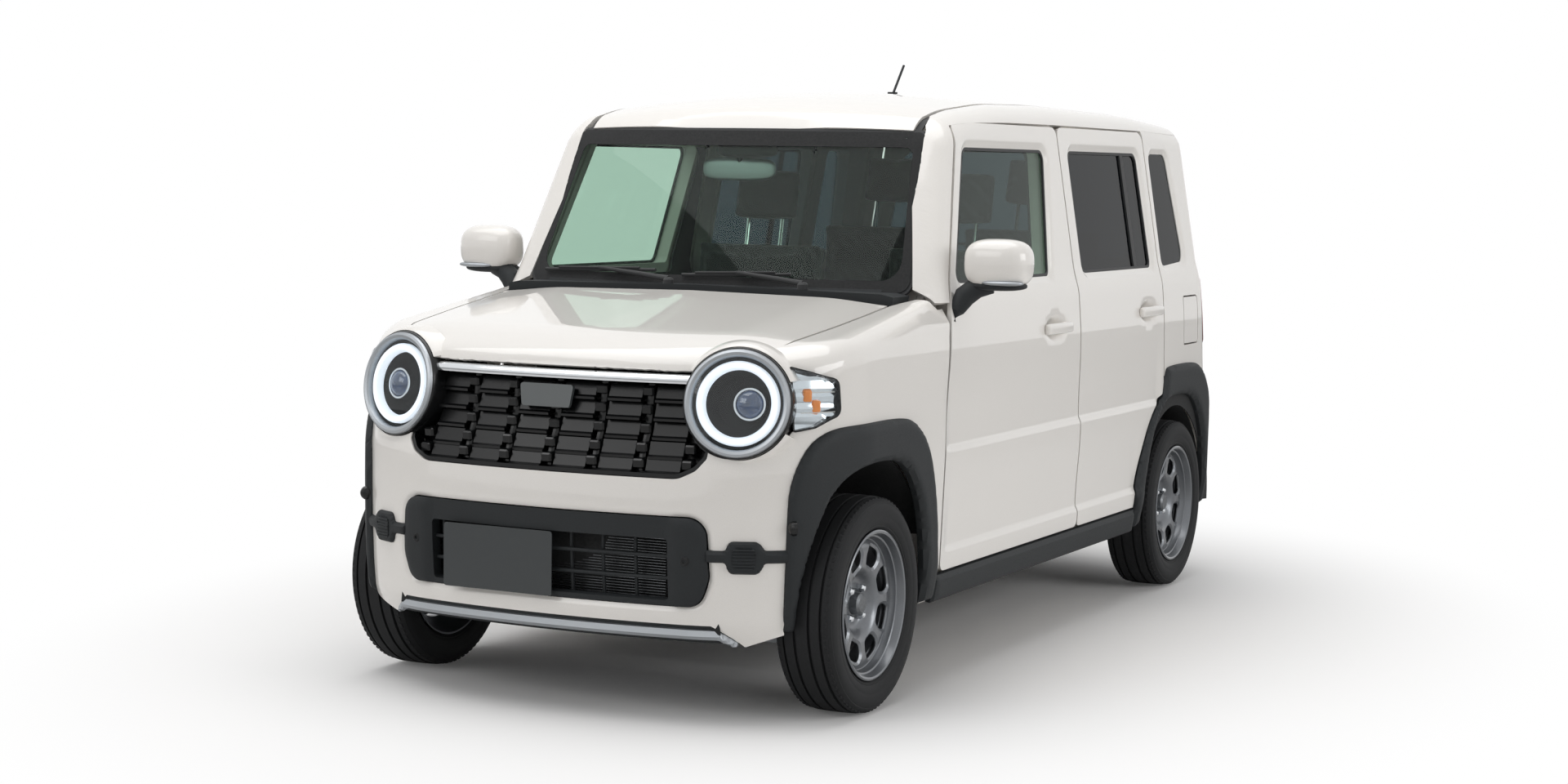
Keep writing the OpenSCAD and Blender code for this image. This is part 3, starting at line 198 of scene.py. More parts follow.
# %% [markdown]
# ## Cabin materials
# Seats wear a woven cloth: threads crossing over and under about every 2 mm give a soft, matt
# surface with a little sheen at grazing angles. The dashboard and door trims are soft-touch
# plastic, and the roof has a pale knitted lining.

# %% Cabin materials
def woven(name, thread_mm, dark, light):
    """Two crossing wave patterns give the over and under of a plain weave."""
    material, tree, shader = start_material(name, Base_Color=linear(dark), Roughness=0.9, Sheen_Weight=0.3,
                                            Sheen_Roughness=0.5)
    place = add(tree, "ShaderNodeTexCoord").outputs["Object"]
    inputs = {"Vector": place, "Scale": 1000 / thread_mm / 20, "Distortion": 0.4, "Detail": 1.0}
    waves = [add(tree, "ShaderNodeTexWave", inputs, bands_direction=axis) for axis in ("Y", "DIAGONAL")]
    weave = add(tree, "ShaderNodeMath", {0: waves[0].outputs[1], 1: waves[1].outputs[1]},
                operation="MULTIPLY")
    bump = add(tree, "ShaderNodeBump", {"Height": weave.outputs[0], "Distance": 0.0006, "Strength": 0.6})
    tree.links.new(bump.outputs[0], shader.inputs["Normal"])
    vary(tree, shader, "Base Color", weave.outputs[0], linear(dark), linear(light))
    return material


seat_cloth = woven("woven_seat_cloth", 4, "#232427", "#3A3B3F")
soft_plastic = grained("soft_touch_dashboard", "#232527", 0.68, 1.8, 0.2, 0.4, 0.6, 0.78,
                       "ShaderNodeTexVoronoi")
lining = grained("knitted_roof_lining", "#B9B6AF", 0.92, 3, 0.3, 0.5, "#AEABA4", "#C6C3BC",
                 Sheen_Weight=0.2)
print("cabin materials ready")

# %% [markdown]
# ## Stage, light and camera
# The photograph is a studio shot on white. A pale floor takes the shadow and fades to white away
# from the car; large soft lamps overhead, in front and at the side give the long highlights on
# the paint. The camera stands where the photograph's perspective puts it: to the front left, just
# above bonnet height, with a lens of about 60 mm.

# %% Floor and world
def flat_sheet(name, half, z):
    """A level square, in metres."""
    mesh = bpy.data.meshes.new(name)
    mesh.from_pydata([(-half, -half, z), (half, -half, z), (half, half, z), (-half, half, z)], [],
                     [(0, 1, 2, 3)])
    sheet = bpy.data.objects.new(name, mesh)
    bpy.context.scene.collection.objects.link(sheet)
    return sheet


floor = flat_sheet("studio_floor", 30, 0.0)
floor_paint, tree, shader = start_material("painted_studio_floor", Base_Color=linear("#FAF9F8"),
                                           Roughness=0.9)
spot = add(tree, "ShaderNodeMapping", {"Vector": add(tree, "ShaderNodeTexCoord").outputs["Object"],
                                       "Scale": (0.44, 0.32, 1.0)})
fade = add(tree, "ShaderNodeTexGradient", {"Vector": spot.outputs[0]}, gradient_type="SPHERICAL")
reach = add(tree, "ShaderNodeMapRange", {0: fade.outputs[1], 1: 0.0, 2: 0.6, 3: 1.0, 4: 0.0},
            interpolation_type="SMOOTHSTEP")
seen = add(tree, "ShaderNodeLightPath")
unlit = add(tree, "ShaderNodeMath", {0: reach.outputs[0], 1: seen.outputs["Is Camera Ray"]},
            operation="MULTIPLY")
white = add(tree, "ShaderNodeEmission", {"Color": (1, 1, 1, 1), "Strength": 1.0})
mixed = add(tree, "ShaderNodeMixShader", {0: unlit.outputs[0], 1: shader.outputs[0], 2: white.outputs[0]})
tree.links.new(mixed.outputs[0], next(n for n in tree.nodes if n.type == "OUTPUT_MATERIAL").inputs[0])
floor.data.materials.append(floor_paint)

world = bpy.data.worlds.new("studio")
bpy.context.scene.world = world
world.use_nodes = True
tree = world.node_tree
tree.nodes.clear()
seen = add(tree, "ShaderNodeLightPath")
bright = add(tree, "ShaderNodeMath", {0: seen.outputs["Is Camera Ray"], 1: seen.outputs["Is Glossy Ray"]},
             operation="MAXIMUM")
bright = add(tree, "ShaderNodeMath", {0: bright.outputs[0], 1: seen.outputs["Is Transmission Ray"]},
             operation="MAXIMUM")
level = add(tree, "ShaderNodeMapRange", {0: bright.outputs[0], 3: 0.26, 4: 1.0})
sky = add(tree, "ShaderNodeBackground", {"Color": (1, 1, 1, 1), "Strength": level.outputs[0]})
add(tree, "ShaderNodeOutputWorld", {"Surface": sky.outputs[0]})
print("floor and world ready")

# %% Lamps
def soft_lamp(name, place, aim, size, watts):
    """A rectangular area light at a place, turned towards a point."""
    light = bpy.data.lights.new(name, "AREA")
    light.shape = "RECTANGLE"
    light.size, light.size_y = size
    light.energy = watts
    lamp = bpy.data.objects.new(name, light)
    lamp.location = place
    lamp.rotation_euler = (Vector(aim) - Vector(place)).to_track_quat("-Z", "Y").to_euler()
    bpy.context.scene.collection.objects.link(lamp)
    return lamp


soft_lamp("overhead_softbox", (-0.6, -1.0, 5.2), (0, 0, 0.6), (4.5, 6.0), 185)
soft_lamp("front_softbox", (-2.6, -6.5, 3.4), (0, -0.8, 0.8), (4.0, 2.5), 60)
soft_lamp("side_softbox", (6.5, -0.5, 2.6), (0.6, 0.2, 0.8), (5.0, 2.0), 120)
scene = bpy.context.scene
scene.view_settings.view_transform = "Standard"

# %% Camera
CAMERA_PLACE = (3.4683, -7.2874, 1.3984)
CAMERA_TURN = (26.481, 4.891, 0.888)
CAMERA_FOCUS_PX = 3192.7
SENSOR_MM, PICTURE_PX = 36, 1920
turn, lift, roll = (math.radians(a) for a in CAMERA_TURN)
back = Vector((math.sin(turn) * math.cos(lift), -math.cos(turn) * math.cos(lift), math.sin(lift)))
right = Vector((math.cos(turn), math.sin(turn), 0))
up = back.cross(right)
right, up = right * math.cos(roll) + up * math.sin(roll), up * math.cos(roll) - right * math.sin(roll)
camera_data = bpy.data.cameras.new("photo_camera")
camera_data.sensor_width = SENSOR_MM
camera_data.lens = CAMERA_FOCUS_PX * SENSOR_MM / PICTURE_PX
camera = bpy.data.objects.new("photo_camera", camera_data)
camera.matrix_world = Matrix.Translation(CAMERA_PLACE) @ Matrix((right, up, back)).transposed().to_4x4()
scene.collection.objects.link(camera)
scene.camera = camera
print("lens", round(camera_data.lens, 2), "mm")

# %% [markdown]
# ## The body as a rule
# Sheet metal looks right only when neighbouring panels lie on one smooth surface. So the whole
# body is written as a rule: for any point, is it outside the car, and by how much? Side, roof,
# screen, tail, bonnet and nose each have a simple surface, and where two meet they are joined
# with a round edge. A panel is then an outline drawn on a wrapping sheet, whose points are
# pulled in along rays until they meet the surface. All sizes are millimetres until a mesh is made.

# %% Surfaces of the body
BODY_HALF = 723.5
FRONT_Y, REAR_Y = -1697.5, 1697.5
AXLES = (-1230.0, 1230.0)
HUB_Z = 282.0
# Radius of each panel's cut round a wheel.
ARCH_CUT = {"door": 420, "quarter": 400, "wing": 399, "band": 411}
TRACK_HALF = 647.5
# Radii of the curved nose, windscreen and tail in plan, and the lean of the last two.
NOSE_R, SCREEN_R, TAIL_R = 2380.0, 2620.0, 3000.0
SCREEN_LEAN, TAIL_LEAN = math.radians(-26.5), math.radians(3.6)
SCREEN_FOOT = (-858, 1080)
TAIL_FOOT = (1671.5, 585)
# The roof falls by its crown, and the bonnet by its fall, out to the half width of the top.
TOP_HALF, ROOF_CROWN, BONNET_FALL = 573, 42, 8
REAR_EDGE_R = 78


def soft_curve(points, soften):
    """A line through points whose corners are rounded over about soften millimetres."""
    xs, ys = np.array(points, float).T
    grid = np.arange(xs[0], xs[-1] + 1.0)
    window = np.hanning(2 * int(soften) + 3)
    window /= window.sum()
    half = len(window) // 2
    raw = np.interp(grid, xs, ys)
    ends = np.concatenate([raw[0] + (raw[1] - raw[0]) * np.arange(-half, 0), raw,
                           raw[-1] + (raw[-1] - raw[-2]) * np.arange(1, half + 1)])
    smooth = np.convolve(ends, window, "valid")
    return lambda v: np.interp(v, grid, smooth)


def step(v, low, high):
    """0 below low, 1 above high, and a smooth rise between them."""
    t = np.clip((v - low) / (high - low), 0, 1)
    return t * t * (3 - 2 * t)


side_width = soft_curve([(100, 684), (225, 700), (332, 719.5), (640, 723.5), (915, 717), (1040, 707),
                         (1100, 689), (1540, 617.5), (1750, 583)], 34)
roof_height = soft_curve([(-1000, 1460), (-600, 1566), (-425, 1606), (-125, 1633), (275, 1640),
                          (1078, 1629), (1498, 1604), (1800, 1575)], 120)
nose_reach = soft_curve([(100, -130), (200, -66), (262, -18), (430, -3), (560, 0), (655, -7), (740, -46),
                         (880, -66), (925, -84), (972, -146), (1010, -258), (1140, -760)], 22)


def round_meet(a, b, r):
    """Outside of two surfaces at once, with a round edge of radius r."""
    return np.minimum(np.maximum(a, b), -r) + np.hypot(np.maximum(a + r, 0), np.maximum(b + r, 0))


def door_creases(y, z):
    """Two pressed ledges along the doors, as a depth below the plain side."""
    upper = 8.5 * step(z, 632, 656) * (1 - step(z, 656, 900))
    lower = 9.5 * step(z, 356, 380) * (1 - step(z, 384, 610))
    upper = upper * step(y, -792, -745) * (1 - step(y, 1030, 1062))
    return upper + lower * step(y, -790, -738) * (1 - step(y, 800, 900))


def side_surface(p):
    return (np.abs(p[:, 0]) - side_width(p[:, 2]) + door_creases(p[:, 1], p[:, 2])) * 0.99


def screen_surface(p):
    y, z = p[:, 1] - SCREEN_FOOT[0], p[:, 2] - SCREEN_FOOT[1]
    return np.hypot(p[:, 0], math.cos(SCREEN_LEAN) * y + math.sin(SCREEN_LEAN) * z - SCREEN_R) - SCREEN_R


def tail_surface(p):
    y, z = p[:, 1] - TAIL_FOOT[0], p[:, 2] - TAIL_FOOT[1]
    return np.hypot(p[:, 0], math.cos(TAIL_LEAN) * y + math.sin(TAIL_LEAN) * z + TAIL_R) - TAIL_R


def roof_surface(p):
    return p[:, 2] - roof_height(p[:, 1]) + ROOF_CROWN * (p[:, 0] / TOP_HALF) ** 2


def cabin(p):
    """Sides, roof, windscreen and tail together."""
    shape = round_meet(side_surface(p), roof_surface(p), 62)
    shape = round_meet(shape, screen_surface(p), 46)
    return round_meet(shape, tail_surface(p), REAR_EDGE_R)


def cabin_low(p):
    """Sides and rear below the tailgate, where the tail stands upright."""
    return round_meet(side_surface(p), np.hypot(p[:, 0], p[:, 1] - REAR_Y + TAIL_R) - TAIL_R, REAR_EDGE_R)


def bonnet_z(x, y):
    """Height of the bonnet's top at a place seen from above."""
    x = np.abs(x)
    return 1066 - (-868 - y) * 0.1405 - BONNET_FALL * x / TOP_HALF - 16 * step(x, 400, 660)


def bonnet_surface(p):
    return (p[:, 2] - bonnet_z(p[:, 0], p[:, 1])) * 0.99


def nose(p):
    """Sides, corners, front and bonnet together."""
    x = np.abs(p[:, 0])
    corner = 0.643 * (x - BODY_HALF) - 0.766 * (p[:, 1] + 1497.5)
    shape = round_meet(side_surface(p), corner, 170)
    front = np.hypot(x, p[:, 1] - FRONT_Y - NOSE_R) - NOSE_R - nose_reach(p[:, 2])
    shape = round_meet(shape, front, 110)
    return round_meet(shape, bonnet_surface(p), 62)


def slope(rule, p):
    """Outward direction of a surface, from small differences."""
    out = np.stack([rule(p + step_) - rule(p - step_) for step_ in np.eye(3) * 0.6], 1)
    return out / np.linalg.norm(out, axis=1)[:, None]


print("half width at the roof edge", side_width(1540), "widest", side_width(640))

# %% [markdown]
# ## Wrapping sheets and outlines
# Several sheets wrap the car: round its plan, across it like a tunnel, and along it over nose, roof
# and tail. Each is a smooth path with rays pointing inwards. Its corners are rounded so widely that
# rays meet the metal before they cross. Outlines are polygons with filleted corners, spaced finely
# enough to follow the metal.

# %% Outlines
def fillet(points, radii, closed=True):
    """Rounds the corners of a polygon or path."""
    pts = [np.array(p, float) for p in points]
    radii = [radii] * len(pts) if np.isscalar(radii) else radii
    out = []
    for i, (p, r) in enumerate(zip(pts, radii)):
        if r <= 0 or (not closed and i in (0, len(pts) - 1)):
            out.append(p)
            continue
        a, b = pts[i - 1] - p, pts[(i + 1) % len(pts)] - p
        la, lb = np.linalg.norm(a), np.linalg.norm(b)
        a, b = a / la, b / lb
        half = math.acos(max(-1, min(1, float(a @ b)))) / 2
        if half > 1.55:
            out.append(p)
            continue
        reach = min(r / math.tan(half), 0.49 * la, 0.49 * lb)
        r = reach * math.tan(half)
        middle = p + (a + b) / np.linalg.norm(a + b) * r / math.sin(half)
        t0, t1 = p + a * reach - middle, p + b * reach - middle
        angle0 = math.atan2(t0[1], t0[0])
        sweep = (math.atan2(t1[1], t1[0]) - angle0 + math.pi) % (2 * math.pi) - math.pi
        count = max(3, int(abs(sweep) * max(r, 4) / 7))
        out += [middle + r * np.array([math.cos(angle0 + sweep * k / count),
                                       math.sin(angle0 + sweep * k / count)])
                for k in range(count + 1)]
    return np.array(out)


def spaced(loop, gap, closed=True):
    """The same line with points no further apart than gap."""
    pts = np.vstack([loop, loop[:1]]) if closed else np.asarray(loop, float)
    out = []
    for a, b in zip(pts[:-1], pts[1:]):
        count = max(1, int(math.ceil(np.linalg.norm(b - a) / gap)))
        out += [a + (b - a) * k / count for k in range(count)]
    return np.array(out if closed else out + [pts[-1]])


def ring(y, z, ry, rz=None, count=48):
    """A circle or ellipse."""
    t = np.arange(count) * 2 * math.pi / count
    return np.stack([y + ry * np.cos(t), z + (rz or ry) * np.sin(t)], 1)


def grown(loop, by):
    """A loop moved outwards by a distance, along the mean of its corner directions."""
    loop = np.asarray(loop, float)
    before, after = loop - np.roll(loop, 1, 0), np.roll(loop, -1, 0) - loop
    before /= np.linalg.norm(before, axis=1)[:, None] + 1e-9
    after /= np.linalg.norm(after, axis=1)[:, None] + 1e-9
    area = np.sum(loop[:, 0] * np.roll(loop[:, 1], -1) - np.roll(loop[:, 0], -1) * loop[:, 1])
    turn = 1 if area > 0 else -1
    n = before + after
    n = np.stack([n[:, 1], -n[:, 0]], 1) * turn
    n /= np.linalg.norm(n, axis=1)[:, None] + 1e-9
    ahead = np.stack([after[:, 1], -after[:, 0]], 1) * turn
    sharp = np.clip(np.einsum("ij,ij->i", n, ahead), 0.5, 1)
    return loop + n * (by / sharp)[:, None]


def within(points, loop):
    """Which points lie inside a loop."""
    x, y = points[:, 0][:, None], points[:, 1][:, None]
    a, b = loop, np.roll(loop, -1, 0)
    crosses = (a[:, 1] > y) != (b[:, 1] > y)
    at = (b[:, 0] - a[:, 0]) * (y - a[:, 1]) / (b[:, 1] - a[:, 1] + 1e-12) + a[:, 0]
    return (np.sum(crosses & (x < at), 1) % 2) == 1


def away(points, loop, closed=True):
    """Distance of points to a line."""
    a = np.asarray(loop, float)
    b = np.roll(a, -1, 0)
    if not closed:
        a, b = a[:-1], b[:-1]
    best = np.full(len(points), 1e9)
    for p, q in zip(a, b):
        d = q - p
        t = np.clip(((points - p) @ d) / (d @ d + 1e-12), 0, 1)
        best = np.minimum(best, np.linalg.norm(points - p - t[:, None] * d, axis=1))
    return best


def outside(points, loop):
    """Distance of points to a loop, and 0 for those inside it."""
    return np.where(within(points, loop), 0, away(points, loop))


def arc(y, z, r, start, stop, count):
    """Points round a centre from one angle, in degrees, to another."""
    angles = np.linspace(math.radians(start), math.radians(stop), count)
    return [(y + r * math.cos(a), z + r * math.sin(a)) for a in angles]


def flip(loop):
    """A side-view outline (y, z) as the tunnel sheet wants it."""
    return np.asarray(loop)[:, ::-1]


print("outline helpers ready")


# %% Wrapping sheets
class Wrap:
    """A sheet round the car: a path in one plane, drawn out along the third axis."""

    def __init__(self, points, radii, axes, zero=0):
        self.path = spaced(fillet(points, radii, closed=False), 3, closed=False)
        length = np.concatenate([[0], np.cumsum(np.linalg.norm(np.diff(self.path, axis=0), axis=1))])
        self.axes = axes
        tangent = np.gradient(self.path, length, axis=0)
        tangent /= np.linalg.norm(tangent, axis=1)[:, None]
        self.normal = np.stack([tangent[:, 1], -tangent[:, 0]], 1)
        self.along = length - length[zero]

    def find(self, points):
        """Place along the path of 2-D points near the car's surface."""
        points = np.atleast_2d(points)
        nearest = np.array([np.argmin(np.sum((self.path - p) ** 2, 1)) for p in points])
        tangent = np.stack([-self.normal[nearest, 1], self.normal[nearest, 0]], 1)
        return self.along[nearest] + np.einsum("ij,ij->i", points - self.path[nearest], tangent)

    def at(self, a, b):
        """Place along the path of a single point."""
        return float(self.find(np.array([[a, b]]))[0])

    def rays(self, flat):
        start, aim = np.zeros((len(flat), 3)), np.zeros((len(flat), 3))
        for k in (0, 1):
            start[:, self.axes[k]] = np.interp(flat[:, 0], self.along, self.path[:, k])
            aim[:, self.axes[k]] = -np.interp(flat[:, 0], self.along, self.normal[:, k])
        start[:, 3 - sum(self.axes)] = flat[:, 1]
        return start, aim / np.linalg.norm(aim, axis=1)[:, None]

    def onto(self, rule, flat, depth=330):
        """Pulls flat points in along their rays until they meet the surface."""
        start, aim = self.rays(flat)
        low, high = np.zeros(len(flat)), np.full(len(flat), float(depth))
        for _ in range(30):
            middle = (low + high) / 2
            outside = rule(start + aim * middle[:, None]) > 0
            low, high = np.where(outside, middle, low), np.where(outside, high, middle)
        return start + aim * high[:, None]


OFF_X, OFF_Y = 775, 1775
HALF_PLAN = [(0, -OFF_Y), (OFF_X, -OFF_Y), (OFF_X, OFF_Y), (0, OFF_Y)]
plan = Wrap(HALF_PLAN, [0, 330, 160, 0], (0, 1))
nose_path = [(0, OFF_Y), (-OFF_X, OFF_Y), (-OFF_X, -OFF_Y), (OFF_X, -OFF_Y), (OFF_X, OFF_Y), (0, OFF_Y)]
front_plan = Wrap(nose_path, [0, 160, 330, 330, 160, 0], (0, 1))
front_plan.along -= front_plan.at(0, -1697)
tail_path = [(0, -OFF_Y), (OFF_X, -OFF_Y), (OFF_X, OFF_Y), (-OFF_X, OFF_Y), (-OFF_X, -OFF_Y), (0, -OFF_Y)]
rear_plan = Wrap(tail_path, [0, 330, 160, 160, 330, 0], (0, 1))
rear_plan.along -= rear_plan.at(0, 1697)
HALF_ARCH = [(790, 100), (790, 1740), (0, 1740)]
tunnel = Wrap(HALF_ARCH, [0, 200, 0], (0, 2))
over_side = Wrap(HALF_ARCH, [0, 400, 0], (0, 2))
for across in (tunnel, over_side):
    across.along += HALF_ARCH[0][1]
quarter_plan = Wrap(HALF_PLAN, [0, 330, 360, 0], (0, 1))
over_nose = Wrap([(-700, 1160), (-1560, 1040), (-1720, 960), (-1745, 300)], [0, 420, 120, 0], (1, 2))
over_tail = Wrap([(1790, 300), (1740, 1700), (1200, 1745), (-300, 1760)], [0, 190, 0, 0], (1, 2))
over_roof = Wrap([(1700, 1720), (200, 1760), (-520, 1700), (-800, 1200)], [0, 900, 260, 0], (1, 2))


def side_place(points):
    """Side-view points (y, z) on the plan sheet of the car's left side."""
    points = np.asarray(points, float)
    return np.stack([plan.find(np.stack([np.full(len(points), 720.0), points[:, 0]], 1)), points[:, 1]], 1)


print("plan length", round(float(plan.along[-1])), "mm")

# %% [markdown]
# ## Making a panel
# A panel is one sheet with a real edge: the outline and its holes are triangulated together with
# a grid of inner points, laid on the surface, pressed where the design has a ledge or dish, and
# given a thickness. The other side of the car is the mirror image with its faces turned over.

# %% Panel maker
def sheet_mesh(wrap, rule, outline, holes=(), folds=(), gap=18, edge=9, rows=(), columns=(), press=None,
               thick=14.0, lift=0.0, depth=330):
    """Vertices and triangles of a panel cut to an outline on a wrapping sheet."""
    outline = spaced(outline, edge)
    holes = [spaced(h, edge) for h in holes]
    folds = [spaced(f, edge) for f in folds]
    low, high = outline.min(0), outline.max(0)
    us = np.union1d(np.arange(low[0] + gap / 2, high[0], gap), np.asarray(columns, float))
    ws = np.union1d(np.arange(low[1] + gap / 2, high[1], gap), np.asarray(rows, float))
    inner = np.stack(np.meshgrid(us, ws), -1).reshape(-1, 2)
    keep = within(inner, outline) & (away(inner, outline) > 0.45 * edge)
    for hole in holes:
        keep &= ~within(inner, hole) & (away(inner, hole) > 0.45 * edge)
    for fold in folds:
        keep &= away(inner, fold) > 0.45 * edge
    points, edges = [], []
    for loop in [outline, *holes, *folds]:
        first = len(points)
        points += [Vector(p) for p in loop]
        edges += [(first + k, first + (k + 1) % len(loop)) for k in range(len(loop))]
    points += [Vector(p) for p in inner[keep]]
    flat, _, faces, *_ = geometry.delaunay_2d_cdt(points, edges, [], 0, 1e-4)
    flat, faces = np.array([tuple(p) for p in flat]), np.array([tuple(f) for f in faces])
    middle = flat[faces].mean(1)
    inside = within(middle, outline)
    for hole in holes:
        inside &= ~within(middle, hole)
    faces = faces[inside]
    used, faces = np.unique(faces, return_inverse=True)
    flat, faces = flat[used], faces.reshape(-1, 3)
    skin = wrap.onto(rule, flat, depth)
    out = slope(rule, skin)
    raised = (press(skin) if press else 0.0) + np.zeros(len(skin)) + lift
    skin = skin + out * raised[:, None]
    a, b, c = (skin[faces[:, k]] for k in range(3))
    if np.einsum("ij,ij->i", np.cross(b - a, c - a), out[faces[:, 0]]).sum() < 0:
        faces = faces[:, ::-1]
    if not thick:
        return skin, faces
    sides = {}
    for f in faces:
        for k in range(3):
            e = (f[k], f[(k + 1) % 3])
            sides.pop((e[1], e[0]), None) if (e[1], e[0]) in sides else sides.setdefault(e, True)
    rim = np.array(list(sides))
    count = len(skin)
    wall = np.vstack([np.stack([rim[:, 1], rim[:, 0], rim[:, 0] + count], 1),
                      np.stack([rim[:, 1], rim[:, 0] + count, rim[:, 1] + count], 1)])
    return np.vstack([skin, skin - out * thick]), np.vstack([faces, faces[:, ::-1] + count, wall])


def mirrored(shape):
    """The same shape on the car's right side."""
    points, faces = shape
    return np.asarray(points) * [-1, 1, 1], [tuple(f)[::-1] for f in faces]


def merged(*shapes):
    """Several shapes as one."""
    points, faces, first = [], [], 0
    for p, f in shapes:
        points.append(np.asarray(p, float))
        faces += [tuple(int(i) + first for i in face) for face in f]
        first += len(p)
    return np.vstack(points), faces


def both(*shapes):
    """Shapes of the car's left side and their mirror images."""
    return merged(*shapes, *[mirrored(s) for s in shapes])


def on_side(shape, side):
    """A shape of the left side, or its mirror image if the side is right."""
    return shape if side == "left" else mirrored(shape)


def mesh_of(name, points, faces):
    """A Blender mesh, in metres, from millimetre points."""
    mesh = bpy.data.meshes.new(name)
    mesh.from_pydata((np.asarray(points) * 0.001).tolist(), [], [tuple(int(i) for i in f) for f in faces])
    return mesh


def piece(name, shape, material, body, slot, *nodes, crisp=32):
    """A mesh object from millimetre points: shaded, dressed, riding on its body."""
    mesh = mesh_of(name, *shape)
    mesh.validate()
    mesh.shade_smooth()
    mesh.set_sharp_from_angle(angle=math.radians(crisp))
    mesh.materials.append(material)
    thing = bpy.data.objects.new(name, mesh)
    scene.collection.objects.link(thing)
    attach(thing, body)
    if nodes:
        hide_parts(*nodes)
    return thing


def taken_from(mesh):
    """Points and faces of a bmesh, which is then freed."""
    mesh.verts.index_update()
    result = np.array([v.co[:] for v in mesh.verts]), [tuple(v.index for v in f.verts) for f in mesh.faces]
    mesh.free()
    return result


def inner_structure(name, rule, cover):
    """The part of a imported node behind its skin, kept clear of the new outer panel."""
    mesh = bmesh.new()
    mesh.from_mesh(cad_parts[name].data)
    bmesh.ops.remove_doubles(mesh, verts=mesh.verts, dist=1e-5)
    points, faces = taken_from(mesh)
    points = points * 1000
    depth = rule(points)
    faces = [f for f in faces if min(depth[i] for i in f) < -cover]
    for _ in range(3):
        shallow = rule(points) > -cover
        if shallow.any():
            points[shallow] -= slope(rule, points[shallow]) * (rule(points[shallow]) + cover + 0.5)[:, None]
    return points, faces


print("panel maker ready")

# %% [markdown]
# ## Side doors
# Each door is one pressing with its window frame: two ledges run along it, a chamfer leads into
# the window, and a dish sits behind the handle. The outline follows the real shut lines, with a
# gap of 8 mm to its neighbours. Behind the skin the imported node's own inner panel stays.

# %% Door outlines
FRONT_DOOR = fillet([(-802, 312), (271, 312), (271, 1538), (-506, 1538), (-726, 1040), (-778, 700)],
                    [30, 18, 34, 60, 90, 300])
door_cut = ARCH_CUT["door"]
arch_angles = np.linspace(math.pi - 0.0715, math.acos((1078 - AXLES[1]) / door_cut), 26)
arch = [(AXLES[1] + door_cut * math.cos(a), HUB_Z + door_cut * math.sin(a)) for a in arch_angles]
REAR_DOOR = fillet([(279, 312), *arch, (1078, 1538), (279, 1538)], [18] + [0] * len(arch) + [40, 34])
FRONT_WINDOW = fillet([(-644, 1093), (75, 1093), (165, 1468), (-472, 1468)], [22, 26, 30, 40])
REAR_WINDOW = fillet([(367, 1093), (1026, 1093), (1016, 1468), (367, 1468)], [26, 26, 34, 30])
QUARTER_WINDOW = fillet([(1138, 1093), (1378, 1105), (1318, 1468), (1138, 1468)], [26, 40, 34, 34])
HANDLES = ((67, 935), (932, 950))


DISH_SHIFT, DISH_LONG, DISH_HIGH = 8, 92, 46


def window_chamfer(loop, width=24, deep=9.5):
    """Pressing that leads from the panel down to a window's edge."""
    def press(p):
        return -deep * (1 - step(outside(p[:, 1:], loop), 0, width))
    return press


def handle_dish(y, z):
    """Pressing behind a door handle."""
    def press(p):
        r = np.hypot((p[:, 1] - y + DISH_SHIFT) / DISH_LONG, (p[:, 2] - z) / DISH_HIGH)
        return -17 * (1 - step(r, 0.25, 1.0))
    return press


CREASE_ROWS = np.concatenate([np.arange(352, 386, 4), np.arange(628, 662, 4)])


def door_skin(outline, window, handle):
    """A door's outer pressing with its window opening and handle dish."""
    chamfer, dish = window_chamfer(window), handle_dish(*handle)
    folds = [grown(window, w) for w in (6, 12, 18, 24)]
    folds += [ring(handle[0] - DISH_SHIFT, handle[1], DISH_LONG * k, DISH_HIGH * k, 40)
              for k in (0.3, 0.55, 0.8, 1.0)]
    return sheet_mesh(tunnel, cabin, flip(outline), [flip(window)], [flip(f) for f in folds], gap=20,
                      columns=CREASE_ROWS,
                      press=lambda p: chamfer(p) + dish(p))


def pane(outline, sink):
    """A side window, sunk below the skin."""
    return sheet_mesh(tunnel, cabin, flip(outline), gap=26, edge=16, thick=4.0, lift=-sink)


def frame_strip(window, width, sink, thick):
    """A band of seal just inside a window's edge."""
    return sheet_mesh(tunnel, cabin, flip(window), [flip(grown(window, -width))], gap=60, edge=12,
                      thick=thick, lift=-sink)


for end, outline, window, handle, tint in (("front", FRONT_DOOR, FRONT_WINDOW, HANDLES[0], green_glass),
                                           ("rear", REAR_DOOR, REAR_WINDOW, HANDLES[1], dark_glass)):
    skin = door_skin(outline, window, handle)
    glass = pane(grown(window, 6), 15)
    seal = frame_strip(grown(window, 1), 9, 9.4, 6)
    if end == "rear":
        bar = fillet([(1095, 862), (1466, 856), (1466, 886), (1095, 892)], 3)
        seal = merged(seal, sheet_mesh(tunnel, cabin, bar, gap=30, edge=12, lift=-9, thick=8))
    for side in ("left", "right"):
        body = f"door_{end}_{side}"
        piece(f"{body}_skin", on_side(skin, side), paint, body, "paint", body)
        piece(f"{body}_inner", inner_structure(body, cabin, 13), primer, body, "primer", body)
        piece(f"{body}_glass", on_side(glass, side), tint, body, "glass", f"glass_{end}_{side}")
        piece(f"{body}_seal", on_side(seal, side), rubber, body, "trim_plastic")
    print(end, "door skin", len(skin[1]), "triangles")

# %% [markdown]
# ## Body sides, roof and tail
# The quarter panel wraps round the rear corner to the tailgate, and a rail runs from the foot of
# the windscreen over the doors to the tail. The roof lies between the rails with a narrow ditch on
# each side. The tailgate bends over the top edge of the tail, where its hinges are.

# %% Roof rails
def rail_place(x, y, z):
    """Place of a point on the sheet that wraps the side up to the roof."""
    return over_side.at(x, z), y


ditch_x = 532.0
screen_edge = [(606, -779, 1076), (566, -680, 1300), (549, -590, 1480), (540, -556, 1520)]


